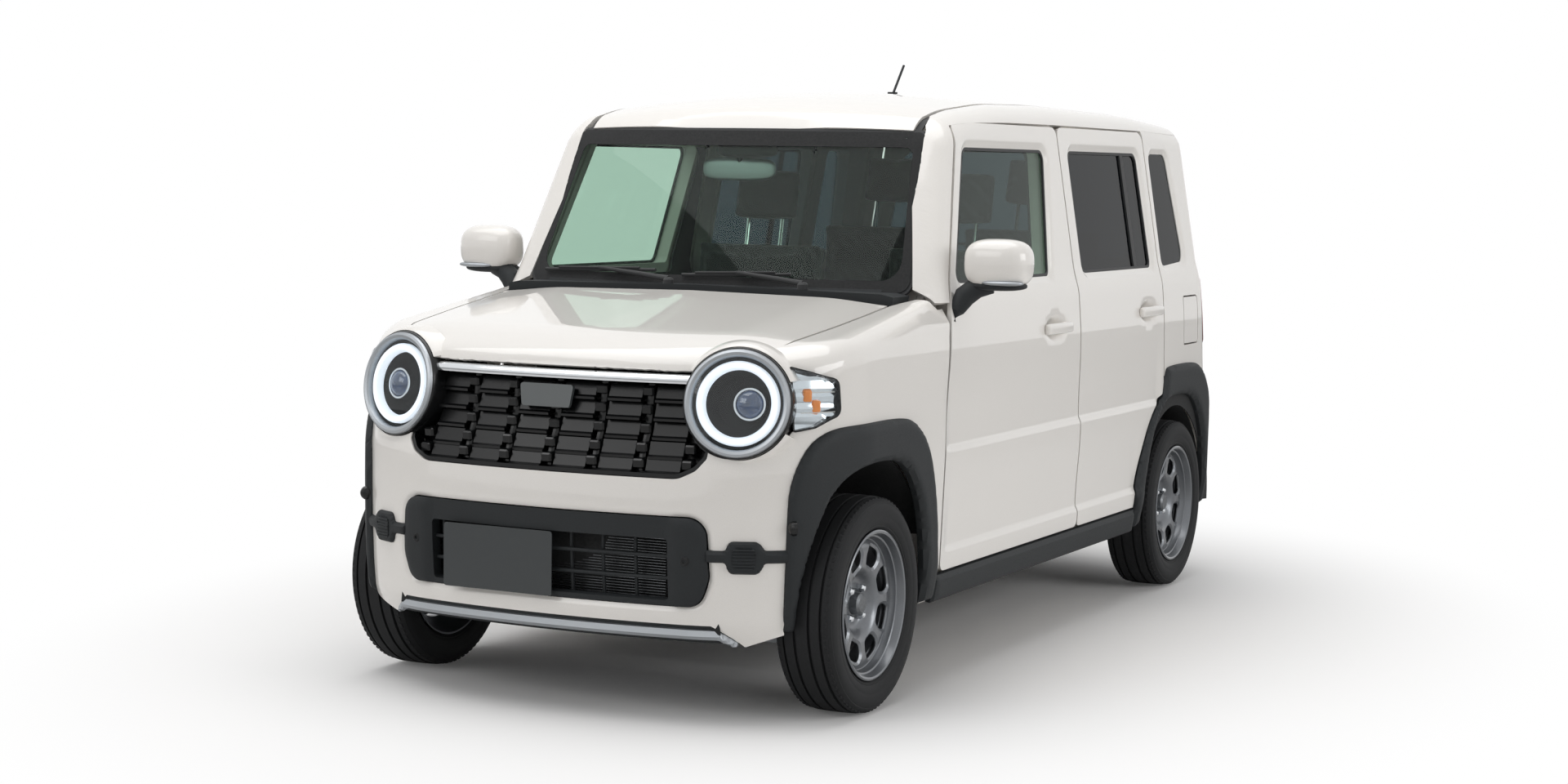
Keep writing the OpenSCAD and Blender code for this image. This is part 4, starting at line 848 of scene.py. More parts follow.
def on_roof(x, y):
    """Height of the roof at a place seen from above."""
    return roof_height(y) - ROOF_CROWN * (x / TOP_HALF) ** 2


RAIL_TOP = [rail_place(x, y, z) for x, y, z in spaced(np.array(screen_edge, float), 12, closed=False)]
RAIL_TOP += [rail_place(ditch_x, y, on_roof(ditch_x, y))
             for y in (-500, -400, -200, 100, 400, 800, 1200, 1482)]
RAIL_TOP += [rail_place(ditch_x + 6, y, 1566) for y in (1484, 1548)]
foot = np.array([(1548, 1566), (1482, 1546), (-513, 1546), (-621, 1300), (-734, 1042.5), (-774, 1041.5)],
                float)
RAIL = np.array(RAIL_TOP + [rail_place(side_width(z), y, z) for y, z in spaced(foot, 12, closed=False)])
rail = sheet_mesh(over_side, cabin, RAIL, gap=14, edge=7, columns=np.arange(1540, 1760, 8),
                  rows=np.arange(-800, -490, 5), depth=420)

# Roof between the ditches, wrapped down to the windscreen's top edge.
header = over_roof.at(-578, 1530)
roof_rear = over_roof.at(1482, 1600)
half = ditch_x - 14
FACE_HALF, FACE_DEPTH = 900, 1300
face_on = Wrap([(-FACE_HALF, -OFF_Y), (FACE_HALF, -OFF_Y)], 0, (0, 1))
face_on.along -= FACE_HALF


def roof_lip(x):
    """Place on the roof sheet where the roof ends above the windscreen, level in the front view."""
    y, z = face_on.onto(cabin, np.array([[x, 1517 - 6 * (x / half) ** 4]]), FACE_DEPTH)[0, 1:]
    return over_roof.at(y, z), x


ROOF = np.array([(roof_rear, -half), (roof_rear, half),
                 *[roof_lip(x) for x in np.linspace(half, -half, 40)]])
roof = sheet_mesh(over_roof, cabin, ROOF, gap=26, edge=13, columns=np.arange(header - 90, header + 10, 9),
                  thick=16)
piece("roof_skin", roof, paint, "body", "paint", "roof")
DITCH = [(roof_rear, half - 4), (roof_rear, ditch_x + 5), (header + 6, ditch_x + 5), (header + 6, half - 4)]
ditch = sheet_mesh(over_roof, cabin, np.array(DITCH), gap=30, edge=9, lift=-9, thick=6)
piece("roof_ditch_strips", both(ditch), rubber, "body", "trim_plastic")
print("rail", len(rail[1]), "roof", len(roof[1]), "triangles")

# %% Quarter panels
TAIL_EDGE_X = 619.0


def tail_y(x, z):
    """The tail's y at a place seen from behind."""
    return TAIL_FOOT[0] - math.tan(TAIL_LEAN) * (z - TAIL_FOOT[1]) - (x * x) / (2 * TAIL_R)


def rear_place(x, z):
    """Place of a rear-view point on the sheet that runs round the rear corner."""
    return quarter_plan.at(x, tail_y(x, z)), z


def quarter_side(points):
    """Side-view points (y, z) on the sheet that runs round the rear corner."""
    points = np.asarray(points, float)
    return np.stack([quarter_plan.find(np.stack([side_width(points[:, 1]), points[:, 0]], 1)),
                     points[:, 1]], 1)


def tail_edge(z):
    """Half width of the tailgate opening, which narrows above the belt line."""
    return TAIL_EDGE_X - 80 * max(0.0, (z - 1025) / 485)


arch_out = arc(AXLES[1], HUB_Z, ARCH_CUT["quarter"], 36, 111, 20)
side_part = quarter_side([*arch_out, (1086, 640), (1086, 1546), (1482, 1546)])
QUARTER = np.array([rear_place(TAIL_EDGE_X, 474), quarter_side([(1560, 474)])[0], *side_part,
                    *[rear_place(tail_edge(z), z) for z in (1546, 1510, 1400, 1250, 1120, 1025, 800)]])
FUEL = fillet([(1297, 823), (1447, 823), (1447, 983), (1297, 983)], [5, 18, 18, 5])
quarter_chamfer = window_chamfer(QUARTER_WINDOW, 20, 8)
quarter_holes = [quarter_side(QUARTER_WINDOW)]
quarter_options = dict(folds=[quarter_side(grown(QUARTER_WINDOW, w)) for w in (7, 14, 20)], gap=20, edge=8,
                       press=quarter_chamfer,
                       columns=np.arange(quarter_side([(1470, 900)])[0][0], rear_place(560, 900)[0], 7))
left_quarter = sheet_mesh(quarter_plan, cabin, QUARTER, quarter_holes + [quarter_side(grown(FUEL, 4))],
                          **quarter_options)
right_quarter = mirrored(sheet_mesh(quarter_plan, cabin, QUARTER, quarter_holes, **quarter_options))
quarter_pane = pane(grown(QUARTER_WINDOW, 5), 11)
for side, quarter in (("left", left_quarter), ("right", right_quarter)):
    piece(f"body_side_{side}_skin", merged(quarter, on_side(rail, side)), paint, "body", "paint",
          f"body_side_{side}")
    piece(f"body_side_{side}_inner", inner_structure(f"body_side_{side}", cabin, 14), primer, "body",
          "primer", f"body_side_{side}")
piece("quarter_panes", both(quarter_pane), dark_glass, "body", "glass", "quarter_glass")
lid = sheet_mesh(quarter_plan, cabin, quarter_side(grown(FUEL, -1)), gap=20, thick=5)
piece("fuel_lid_skin", lid, paint, "fuel_lid", "paint", "fuel_lid")
print("quarter", len(left_quarter[1]), "triangles")

# %% Tailgate
def to_tail(loop):
    """Rear-view points (x, z) on the sheet over the tail."""
    return np.array([(over_tail.at(tail_y(x, z), z), x) for x, z in loop])


gate_top = over_tail.at(1490, 1604)
gate_side = [(611, 480), (611, 700), (611, 1025), (585, 1200), (545, 1420), (531, 1510)]
gate_left = [*to_tail(gate_side), (over_tail.at(1640, 1560), 530), (gate_top, 530)]
GATE = np.array(gate_left + [(u, -x) for u, x in reversed(gate_left)])
GATE_WINDOW_XZ = fillet([(-533, 1105), (533, 1105), (460, 1470), (-460, 1470)], 50)
GATE_RECESS_XZ = fillet([(-250, 640), (250, 640), (230, 815), (-230, 815)], 24)


def gate_press(p):
    """Chamfer round the rear window and the recess below it, on the tail only and not on the roof."""
    flat, upright = p[:, [0, 2]], p[:, 1] > 1500
    chamfer = -7 * (1 - step(outside(flat, GATE_WINDOW_XZ), 0, 18)) * upright
    return chamfer - 16 * (1 - step(outside(flat, GATE_RECESS_XZ), 0, 16)) * upright


gate_folds = [to_tail(grown(GATE_WINDOW_XZ, w)) for w in (6, 12, 18)]
gate_folds += [to_tail(grown(GATE_RECESS_XZ, w)) for w in (0.5, 8, 16)]
gate = sheet_mesh(over_tail, cabin, GATE, [to_tail(GATE_WINDOW_XZ)], gate_folds, gap=22, edge=9,
                  press=gate_press)
piece("tailgate_skin", gate, paint, "tailgate", "paint", "tailgate")
piece("tailgate_inner", inner_structure("tailgate", cabin, 18), primer, "tailgate", "primer", "tailgate")
gate_pane = sheet_mesh(over_tail, cabin, to_tail(grown(GATE_WINDOW_XZ, 5)), gap=30, edge=14, thick=4,
                       lift=-10)
piece("tailgate_pane", gate_pane, dark_glass, "tailgate", "glass", "tailgate_glass")
print("tailgate", len(gate[1]), "triangles")

# %% [markdown]
# ## Nose
# Bonnet, wings and bumper share the nose surface. The bonnet ends at the grille and runs round the
# top of each lamp; the bumper is one big moulding from arch to arch, with openings for the grille,
# the lamps and the lower intake.

# %% Nose panels
LAMP_X, LAMP_Z = 503.0, 818.0
# Radius of each neighbour's cut round the lamp.
LAMP_CUT = {"hood": 141, "wing": 136, "bumper": 138, "grille": 129}


def bonnet_place(x, y, z):
    """Place of a point on the sheet over the nose."""
    return over_nose.at(y, z), x


def nose_y(x, z):
    """The nose surface's y at a place in the front view."""
    start, low, high = -1760, 0.0, 420.0
    for _ in range(30):
        middle = (low + high) / 2
        low, high = (middle, high) if nose(np.array([[x, start + middle, z]]))[0] > 0 else (low, middle)
    return start + high


def nose_x(y, z):
    """The nose surface's x at a place in the side view."""
    low, high = 300.0, 800.0
    for _ in range(30):
        middle = (low + high) / 2
        low, high = (middle, high) if nose(np.array([[middle, y, z]]))[0] < 0 else (low, middle)
    return low


hood_edge = [(600, -918), (597, -1050), (590, -1200), (580, -1330), (570, -1430), (556, -1500)]
hood_half = [bonnet_place(x, y, bonnet_z(x, y)) for x, y in hood_edge]
hood_half += [bonnet_place(x, nose_y(x, z), z) for x, z in arc(LAMP_X, LAMP_Z, LAMP_CUT["hood"], 62, 146,
                                                               14)]
hood_half += [bonnet_place(x, nose_y(x, 893), 893) for x in np.linspace(380, 0, 12)]
HOOD = np.array(hood_half + [(u, -x) for u, x in reversed(hood_half[:-1])])
hood = sheet_mesh(over_nose, nose, HOOD, gap=22, edge=10,
                  columns=np.arange(HOOD[:, 0].max() - 190, HOOD[:, 0].max(), 8))
piece("hood_skin", hood, paint, "hood", "paint", "hood")
piece("hood_inner", inner_structure("hood", nose, 15), primer, "hood", "primer", "hood")
print("bonnet", len(hood[1]), "triangles")

# %% Wings
def shell(p):
    """Cabin and nose together."""
    return np.minimum(cabin(p), nose(p))


leaning = Wrap([HALF_ARCH[0], (790, 880), (560, 1190)], [0, 300, 0], (0, 2))
leaning.along += HALF_ARCH[0][1]


def wing_place(x, y, z):
    """Place of a point on the sheet that leans over the wing."""
    return leaning.at(x, z), y


def wing_side(y, z):
    """The same for a side-view point."""
    return wing_place(side_width(z), y, z)


wing_top = [wing_place(x + 8, y, bonnet_z(x + 8, y)) for x, y in hood_edge]
wing_scuttle = [wing_place(*p) for p in ((668, -790, 1046), (636, -806, 1051), (630, -874, 1052))]
wing_lamp = [wing_place(x, nose_y(x, z), z) for x, z in arc(LAMP_X, LAMP_Z, LAMP_CUT["wing"], 58, -20, 12)]
wing_nose = [wing_place(nose_x(-1484, z), -1484, z) for z in (740, 600)]
wing_arch = [wing_side(y, z) for y, z in arc(AXLES[0], HUB_Z, ARCH_CUT["wing"], 132, 4, 36)]
door_line = [(-850, 252), (-811, 252), (-810, 320), (-787, 700), (-761, 900), (-756, 950), (-749, 985)]
WING = np.array([wing_side(-738, 1040.5), wing_side(-772, 1039.5), *wing_scuttle, *wing_top, *wing_lamp,
                 *wing_nose, *wing_arch, *[wing_side(y, z) for y, z in door_line]])
wing = sheet_mesh(leaning, shell, WING, gap=16, edge=8, columns=np.arange(900, 1130, 8), thick=3)
piece("wings_skin", both(wing), paint, "body", "paint", "wings")
print("wing", len(wing[1]), "triangles")

# %% Bumper
def front_place(x, z):
    """Place of a front-view point on the sheet round the nose."""
    return front_plan.at(x, nose_y(x, z)), z


def corner_place(y, z):
    """The same for a side-view point."""
    return front_plan.at(nose_x(y, z), y), z


def to_front(loop):
    """Front-view points (x, z) on the sheet round the nose."""
    return np.array([front_place(x, z) for x, z in loop])


def front_sheet(loop, *holes, **options):
    """A panel on the nose, cut to a front-view outline and holes."""
    return sheet_mesh(front_plan, nose, to_front(loop), [to_front(h) for h in holes], **options)


INTAKE = fillet([(-448, 535), (448, 535), (456, 380), (430, 306), (-430, 306), (-456, 380)],
                [52, 52, 80, 46, 46, 80])
bumper_half = [(0, 262), (455, 262), (523, 207), (612, 240)]
bumper_end = [(-1540, 256), (-1538, 420), (-1530, 560), (-1500, 660), (-1476, 690), (-1476, 790)]
bumper_low = [front_place(x, z) for x, z in bumper_half] + [corner_place(y, z) for y, z in bumper_end]
bumper_lamp = to_front(arc(LAMP_X, LAMP_Z, LAMP_CUT["bumper"], -14, -117, 22))
grille_foot = [(441, 694), (441, 680), (419, 650), (375, 628), (0, 628)]
half_way = [*bumper_low, *bumper_lamp, *to_front(fillet(grille_foot, [0, 14, 40, 60, 0], closed=False))]
BUMPER = np.array(half_way + [(-u, z) for u, z in reversed(half_way[1:-1])])


def intake_lip(p):
    """The bumper turns in round the lower opening."""
    return -7 * (1 - step(outside(p[:, [0, 2]], INTAKE), 0, 13))


bumper = sheet_mesh(front_plan, nose, BUMPER, [to_front(INTAKE)],
                    [to_front(grown(INTAKE, w)) for w in (4, 9, 14)], gap=18, edge=9,
                    rows=np.arange(596, 760, 8), press=intake_lip, thick=10)
piece("front_bumper_skin", bumper, paint, "body", "paint", "front_bumper")
print("bumper", len(bumper[1]), "triangles")

# %% [markdown]
# ## Black trim round the body
# Grained mouldings guard the arches and sills. On the car each arch piece is a band with rounded
# edges: thin where it meets the paint, thicker in the middle. So the panel maker lifts it by its
# distance from its own edge. The front band wraps round the corner of the bumper.

# %% Arch and sill trim
def band(outline, height, soft):
    """Lift of a moulding that is rounded towards its edges."""
    loop = spaced(outline, 10)

    def press_at(flat):
        t = np.clip(away(flat, loop) / soft, 0, 1)
        return 2 + (height - 2) * np.sqrt(1 - (1 - t) ** 2)
    return press_at


def band_mesh(wrap, rule, outline, height, soft, **options):
    """A moulding with rounded edges, cut to an outline on a wrapping sheet."""
    lift_at = band(outline, height, soft)

    def press(p):
        return lift_at(np.stack([wrap.find(p[:, list(wrap.axes)]), p[:, 3 - sum(wrap.axes)]], 1))
    return sheet_mesh(wrap, rule, outline, press=press, **options)


def eased(points, times=3):
    """Cuts the corners of an open line again and again, so that it runs in one smooth sweep."""
    points = np.asarray(points, float)
    for _ in range(times):
        cut = np.stack([points[:-1] * 0.75 + points[1:] * 0.25, points[:-1] * 0.25 + points[1:] * 0.75],
                       1).reshape(-1, 2)
        points = np.vstack([points[:1], cut, points[-1:]])
    return points


def on_plan(y, z):
    """Place on the plan sheet of a point of the nose in the side view."""
    return plan.at(nose_x(y, z), y), z


front_outer = [on_plan(*p) for p in ((-1536, 250), (-1547, 300), (-1548, 480), (-1545, 620), (-1500, 715),
                                     (-1440, 752), (-1360, 758), (-1080, 758))]
front_outer += side_place([(-985, 736), (-905, 660), (-850, 500), (-834, 318), (-834, 242)]).tolist()
front_inner = side_place([(-915, 242), (-917, 330), (-940, 470), (-985, 560), (-1060, 632), (-1150, 654),
                          (-1300, 654)]).tolist()
front_inner += [on_plan(*p) for p in ((-1392, 628), (-1450, 570), (-1490, 480), (-1514, 390), (-1522, 320),
                                      (-1520, 250))]
FRONT_BAND = np.vstack([eased(front_outer), eased(front_inner)])
rear_arc = arc(AXLES[1], HUB_Z, ARCH_CUT["band"], 176, 114, 14)
rear_outer = side_place([(830, 242), *rear_arc[1:], (1089, 742), (1120, 758), (1390, 758), (1480, 736),
                         (1555, 650), (1592, 500), (1604, 330), (1606, 246)])
rear_inner = side_place([(1540, 246), (1536, 330), (1516, 460), (1470, 560), (1400, 630), (1310, 656),
                         (1150, 656), (1060, 634), (985, 575), (925, 480), (885, 350), (880, 246)])
REAR_BAND = np.vstack([rear_outer[:13], eased(rear_outer[13:]), eased(rear_inner)])
front_band = band_mesh(plan, nose, FRONT_BAND, 17, 26, gap=11, edge=8, thick=16)
rear_band = band_mesh(plan, cabin_low, REAR_BAND, 16, 26, gap=11, edge=8, thick=16)
piece("arch_trim_bands", both(front_band, rear_band), trim, "body", "trim_plastic", "arch_trim")
SILL = side_place([(-829, 304), (-829, 229), (823, 229), (820, 304)])
sill = band_mesh(plan, side_surface, SILL, 13, 20, gap=14, edge=10, thick=14)
piece("sill_trim_bands", both(sill), trim, "body", "trim_plastic", "sill_trim")
print("arch bands", len(front_band[1]), len(rear_band[1]), "triangles")

# %% [markdown]
# ## Turned shapes, tubes and blocks
# Lamps, wheels, bars and buttons are closed bodies: a profile turned about an axis, a round bar
# along a path, or a box with rounded edges.

# %% Turned shapes and tubes
def quads(rows, n, closed=False):
    """Faces between neighbouring rows of n points, where each row closes on itself."""
    return [(i * n + k, i * n + (k + 1) % n, (i + 1) % rows * n + (k + 1) % n, (i + 1) % rows * n + k)
            for i in range(rows if closed else rows - 1) for k in range(n)]


def caps(rows, n):
    """The two faces that close the first and the last row."""
    return [tuple(range(n)), tuple((rows - 1) * n + k for k in range(n))]


def swept(profile, t):
    """(radius, offset) points carried round the X axis through the angles t."""
    profile = np.array(profile, float)
    points = [np.repeat(profile[None, :, 1], len(t), 0), np.cos(t)[:, None] * profile[:, 0],
              np.sin(t)[:, None] * profile[:, 0]]
    return np.stack(points, -1).reshape(-1, 3)


def turned(profile, count=72):
    """Revolves (radius, offset) points round the X axis."""
    return swept(profile, np.arange(count) * 2 * math.pi / count), quads(count, len(profile), closed=True)


def moved(shape, by=(0, 0, 0), axes=None):
    """A shape turned to three axes and moved."""
    points = np.asarray(shape[0], float)
    return (points @ np.array(axes, float) if axes is not None else points) + np.array(by, float), shape[1]


def tube(path, radius, count=10):
    """A round bar along a path."""
    path = np.array(path, float)
    radii = np.full(len(path), radius) if np.isscalar(radius) else np.array(radius, float)
    tangent = np.gradient(path, axis=0)
    tangent /= np.linalg.norm(tangent, axis=1)[:, None]
    side = np.cross(tangent, [0.31, 0.2, 0.93])
    side /= np.linalg.norm(side, axis=1)[:, None]
    other = np.cross(tangent, side)
    t = np.arange(count) * 2 * math.pi / count
    round_it = np.cos(t)[None, :, None] * side[:, None] + np.sin(t)[None, :, None] * other[:, None]
    points = path[:, None] + radii[:, None, None] * round_it
    first, last = caps(len(path), count)
    return outward((points.reshape(-1, 3), quads(len(path), count) + [first[::-1], last]))


def outward(shape):
    """Turns every face of a closed shape to point outwards."""
    mesh = bmesh.new()
    vertices = [mesh.verts.new(p) for p in shape[0]]
    for f in shape[1]:
        if len(set(f)) > 2:
            mesh.faces.new([vertices[int(i)] for i in f])
    bmesh.ops.recalc_face_normals(mesh, faces=mesh.faces)
    return taken_from(mesh)


def prism(profile, width):
    """A block with a side-view outline (y, z), centred across x."""
    n = len(profile)
    points = [(x, y, z) for x in (-width / 2, width / 2) for y, z in profile]
    return outward((np.array(points, float), caps(2, n) + quads(2, n)))


def soft_block(size, radius, segments=3):
    """A box with rounded edges, centred on the origin."""
    mesh = bmesh.new()
    bmesh.ops.create_cube(mesh, size=1.0)
    bmesh.ops.scale(mesh, vec=size, verts=mesh.verts)
    bmesh.ops.bevel(mesh, geom=mesh.edges[:], offset=radius, segments=segments, profile=0.5, affect="EDGES")
    return taken_from(mesh)


print("turning helpers ready")

# %% [markdown]
# ## Repeated pieces with Geometry Nodes
# Grille bricks, tread blocks, wheel nuts and radiator fins repeat one small shape many times. A
# Geometry Nodes tree places the unit on points, turned by a stored attribute and scaled by named
# size inputs, then realises the copies into one plain mesh.

# %% Repeat tree
def repeat_tree():
    """The node tree that copies a unit to points."""
    tree = bpy.data.node_groups.new("repeat_unit", "GeometryNodeTree")
    face = tree.interface
    face.new_socket("Geometry", in_out="INPUT", socket_type="NodeSocketGeometry")
    face.new_socket("Unit", in_out="INPUT", socket_type="NodeSocketObject")
    for size in ("Width", "Depth", "Height"):
        face.new_socket(size, in_out="INPUT", socket_type="NodeSocketFloat").default_value = 1.0
    face.new_socket("Finish", in_out="INPUT", socket_type="NodeSocketMaterial")
    face.new_socket("Geometry", in_out="OUTPUT", socket_type="NodeSocketGeometry")
    given = add(tree, "NodeGroupInput")
    unit = add(tree, "GeometryNodeObjectInfo", {"Object": given.outputs["Unit"]})
    size = add(tree, "ShaderNodeCombineXYZ", {0: given.outputs["Width"], 1: given.outputs["Depth"],
                                              2: given.outputs["Height"]})
    angle = add(tree, "GeometryNodeInputNamedAttribute", {"Name": "turn"}, data_type="FLOAT_VECTOR")
    turned_by = add(tree, "FunctionNodeEulerToRotation", {0: angle.outputs[0]})
    dots = add(tree, "GeometryNodeMeshToPoints", {"Mesh": given.outputs["Geometry"]})
    copies = add(tree, "GeometryNodeInstanceOnPoints", {"Points": dots.outputs[0],
                                                        "Instance": unit.outputs["Geometry"],
                                                        "Rotation": turned_by.outputs[0],
                                                        "Scale": size.outputs[0]})
    real = add(tree, "GeometryNodeRealizeInstances", {"Geometry": copies.outputs[0]})
    dressed = add(tree, "GeometryNodeSetMaterial", {"Geometry": real.outputs[0],
                                                    "Material": given.outputs["Finish"]})
    add(tree, "NodeGroupOutput", {0: dressed.outputs[0]})
    return tree


REPEAT = repeat_tree()
SOCKETS = {item.name: item.identifier for item in REPEAT.interface.items_tree if item.in_out == "INPUT"}


def repeated(unit_shape, places, turns, material, size=(1, 1, 1)):
    """Points (mm) and faces of a unit copied to many places by the tree above."""
    unit_mesh = mesh_of("unit", *unit_shape)
    unit = bpy.data.objects.new("unit", unit_mesh)
    dots_mesh = mesh_of("places", places, [])
    angle = dots_mesh.attributes.new("turn", "FLOAT_VECTOR", "POINT")
    angle.data.foreach_set("vector", np.asarray(turns, float).ravel())
    dots = bpy.data.objects.new("places", dots_mesh)
    for thing in (unit, dots):
        scene.collection.objects.link(thing)
    maker = dots.modifiers.new("repeat", "NODES")
    maker.node_group = REPEAT
    maker[SOCKETS["Unit"]] = unit
    for key, value in zip(("Width", "Depth", "Height"), size):
        maker[SOCKETS[key]] = float(value)
    maker[SOCKETS["Finish"]] = material
    mesh = bpy.data.meshes.new_from_object(dots.evaluated_get(bpy.context.evaluated_depsgraph_get()))
    result = np.array([v.co[:] for v in mesh.vertices]) * 1000, [tuple(f.vertices) for f in mesh.polygons]
    for thing in (dots, unit):
        bpy.data.objects.remove(thing)
    return result


print("repeat tree inputs", list(SOCKETS))

# %% [markdown]
# ## Grille
# Between the lamps sits a black moulding that looks like a brick wall: five rows of wedge-shaped
# blocks with narrow studs between them, on upright stems. A bright strip closes it against the
# bonnet, and a plain grey cover hides the distance sensor in the middle.

# %% Upper grille
low = fillet([(0, 630), (375, 630), (419, 652), (441, 682), (444, 700)], [0, 60, 40, 14, 0], closed=False)
grille_half = [*low, *arc(LAMP_X, LAMP_Z, LAMP_CUT["grille"], 242, 149, 16)]
GRILLE = np.array(grille_half + [(-x, z) for x, z in reversed(grille_half[1:])])
back_plate = front_sheet(GRILLE, gap=30, edge=14, lift=-52, thick=6)
frame_ring = front_sheet(GRILLE, grown(GRILLE, -10), gap=40, edge=8, lift=-4, thick=34)
side_view = [(.5, .5), (.15, .46), (-.30, -.26), (-.5, -.34), (-.5, -.5), (.5, -.5)]
brick = prism(side_view, 1)
ledges, pitch_x, brick_half = (636, 674, 720, 767, 813), 129.0, 46
bricks, studs = [], []
for z in ledges:
    limit = np.interp(z, [630, 690, 730, 818, 880], [400, 420, 384, 362, 378])
    for column in range(-4, 4):
        x = (column + 0.5) * pitch_x
        wide = min(abs(x) + brick_half, limit) - (abs(x) - brick_half)
        if wide > 16:
            middle = math.copysign(abs(x) - brick_half + wide / 2, x)
            bricks.append(((middle, nose_y(middle, z + 20) + 30, z + 20), wide))
    for column in range(-3, 4):
        if abs(column * pitch_x) < limit - 8:
            studs.append((column * pitch_x, nose_y(column * pitch_x, z + 22) + 30, z + 26))


def facing(places):
    """Turns that set pieces square to the curved grille and lean them back a little."""
    return [(0.13, 0, math.asin(p[0] / (NOSE_R - 50))) for p in places]


walls = []
for wide in sorted({round(w) for _, w in bricks}):
    places = [p for p, w in bricks if round(w) == wide]
    walls.append(repeated(brick, places, facing(places), gloss, (wide, 40, 41)))
knob = soft_block((1, 1, 1), 0.14, 1)
stud_wall = repeated(knob, studs, facing(studs), gloss, (30, 36, 24))
stems = [tube([(x, nose_y(x, z) + 38, z) for z in np.linspace(640, 862, 12)], 11, 8)
         for x in pitch_x * np.arange(-2, 3)]
piece("grille_moulding", merged(back_plate, frame_ring, stud_wall, *walls, *stems), gloss, "body",
      "trim_plastic", "grille", crisp=25)
strip_x = np.linspace(-388, 388, 50)
strip_section = ((-2, 883), (-7, 879), (-8, 870), (-5, 861), (8, 859), (8, 884))
bright = np.array([(x, nose_y(x, z) + dy, z) for x in strip_x for dy, z in strip_section])
strip_faces = quads(len(strip_x), len(strip_section)) + caps(len(strip_x), len(strip_section))
piece("grille_strip", outward((bright, strip_faces)), chrome, "body", "trim_plastic")
SENSOR = fillet([(-104, 845), (56, 845), (48, 787), (-94, 787)], 8)
sensor = front_sheet(SENSOR, gap=14, edge=6, lift=-2, thick=10)
sensor_paint = grained("painted_sensor_cover", "#4A4F50", 0.3, 20, 0.03, 0.1, 0.25, 0.36, Coat_Weight=0.5)
piece("sensor_cover", sensor, sensor_paint, "body", "trim_plastic")
print("bricks", len(bricks), "studs", len(studs))

# %% [markdown]
# ## Headlamps
# Each lamp is a round bezel with a ring of light inside it, a dark bucket and a projector lens set
# towards the outside. All of it is turned about the lamp's own axis, which points 15 degrees
# outwards and 8 up. A white fairing leads from the paint to the bezel. Beside the lamp a clear box
# with amber bulbs wraps round the corner.

# %% Headlamps
yaw = math.radians(15)
tilt = math.radians(8)
LAMP_AXES = [(math.sin(yaw) * math.cos(tilt), -math.cos(yaw) * math.cos(tilt), math.sin(tilt)),
             (math.cos(yaw), math.sin(yaw), 0),
             (-math.sin(yaw) * math.sin(tilt), math.cos(yaw) * math.sin(tilt), math.cos(tilt))]
LAMP_SEAT = np.array([LAMP_X, -1589.0, LAMP_Z])


def lamp_ring(profile, count=96, seat=LAMP_SEAT):
    """A profile turned about the axis of each lamp."""
    return both(outward(moved(turned(profile, count), seat, LAMP_AXES)))


def lamp_arc(profile, start, stop, count=40):
    """A profile swept round part of the lamp: 0 degrees is outboard, 90 is up."""
    points = swept(profile, np.radians(np.linspace(start, stop, count)))
    faces = quads(count, len(profile)) + caps(count, len(profile))
    return outward(moved((points, faces), LAMP_SEAT, LAMP_AXES))


light_ring = grained("lit_light_guide", "#F4F7FA", 0.25, 6, 0.3, 0.3, 0.2, 0.3,
                     Emission_Color=linear("#EAF1FA"), Emission_Strength=0.7)
blue_lens = grained("coated_projector_glass", "#1B2A45", 0.05, 26, 0.1, 0.1, "#0E1626", "#3A5B8C",
                    Coat_Weight=1.0, Specular_IOR_Level=0.9)
piece("headlamp_lip", lamp_ring([(140.5, -40), (140.5, 2), (138, 8), (134, 9), (132, -40)]), gloss, "body",
      "trim_plastic", "headlamps")
fairing_edge = [(142, 0), (146, -3), (152, -14), (158, -30), (163, -52), (158, -52), (142, -30)]
fairing = [lamp_arc(fairing_edge, *ends) for ends in ((24, 147), (-116, -30))]
piece("headlamp_fairing", both(*fairing), paint, "body", "paint")
piece("headlamp_bezel", lamp_ring([(136, -20), (136, 8), (133, 15), (127, 18), (120, 16), (116, 9),
                                   (115, -20)]), silver, "body", "alloy")
piece("headlamp_light_ring", lamp_ring([(106, -12), (106, 3), (102, 9), (95, 11), (88, 8), (84, 0),
                                        (84, -12)]), light_ring, "body", "glass")
bucket = [(116, -2), (116, -14), (86, -14), (80, -34), (62, -52), (0.5, -54), (0.5, -58), (64, -56),
          (84, -38), (90, -18), (107, -18), (107, -2)]
piece("headlamp_bucket", lamp_ring(bucket), cavity, "body", "trim_plastic")
projector_seat = LAMP_SEAT + np.array(LAMP_AXES[1]) * 26
projector_ring = [(44, -50), (44, -22), (41, -16), (36, -16), (36, -50)]
piece("headlamp_projector_ring", lamp_ring(projector_ring, 48, projector_seat), chrome, "body", "alloy")
dome = [(36 * math.sin(a), -22 + 20 * math.cos(a)) for a in np.linspace(1.5, 0.02, 12)]
dome += [(0.5, -40), (36, -40)]
piece("headlamp_projector", lamp_ring(dome, 48, projector_seat), blue_lens, "body", "glass")
lens = [(r, 17 - 8 * (r / 115) ** 2) for r in np.linspace(115, 0.6, 12)]
piece("headlamp_lenses_clear", lamp_ring(lens + [(r, w - 2.5) for r, w in reversed(lens)]), clear_lens,
      "body", "glass", "headlamp_lenses")

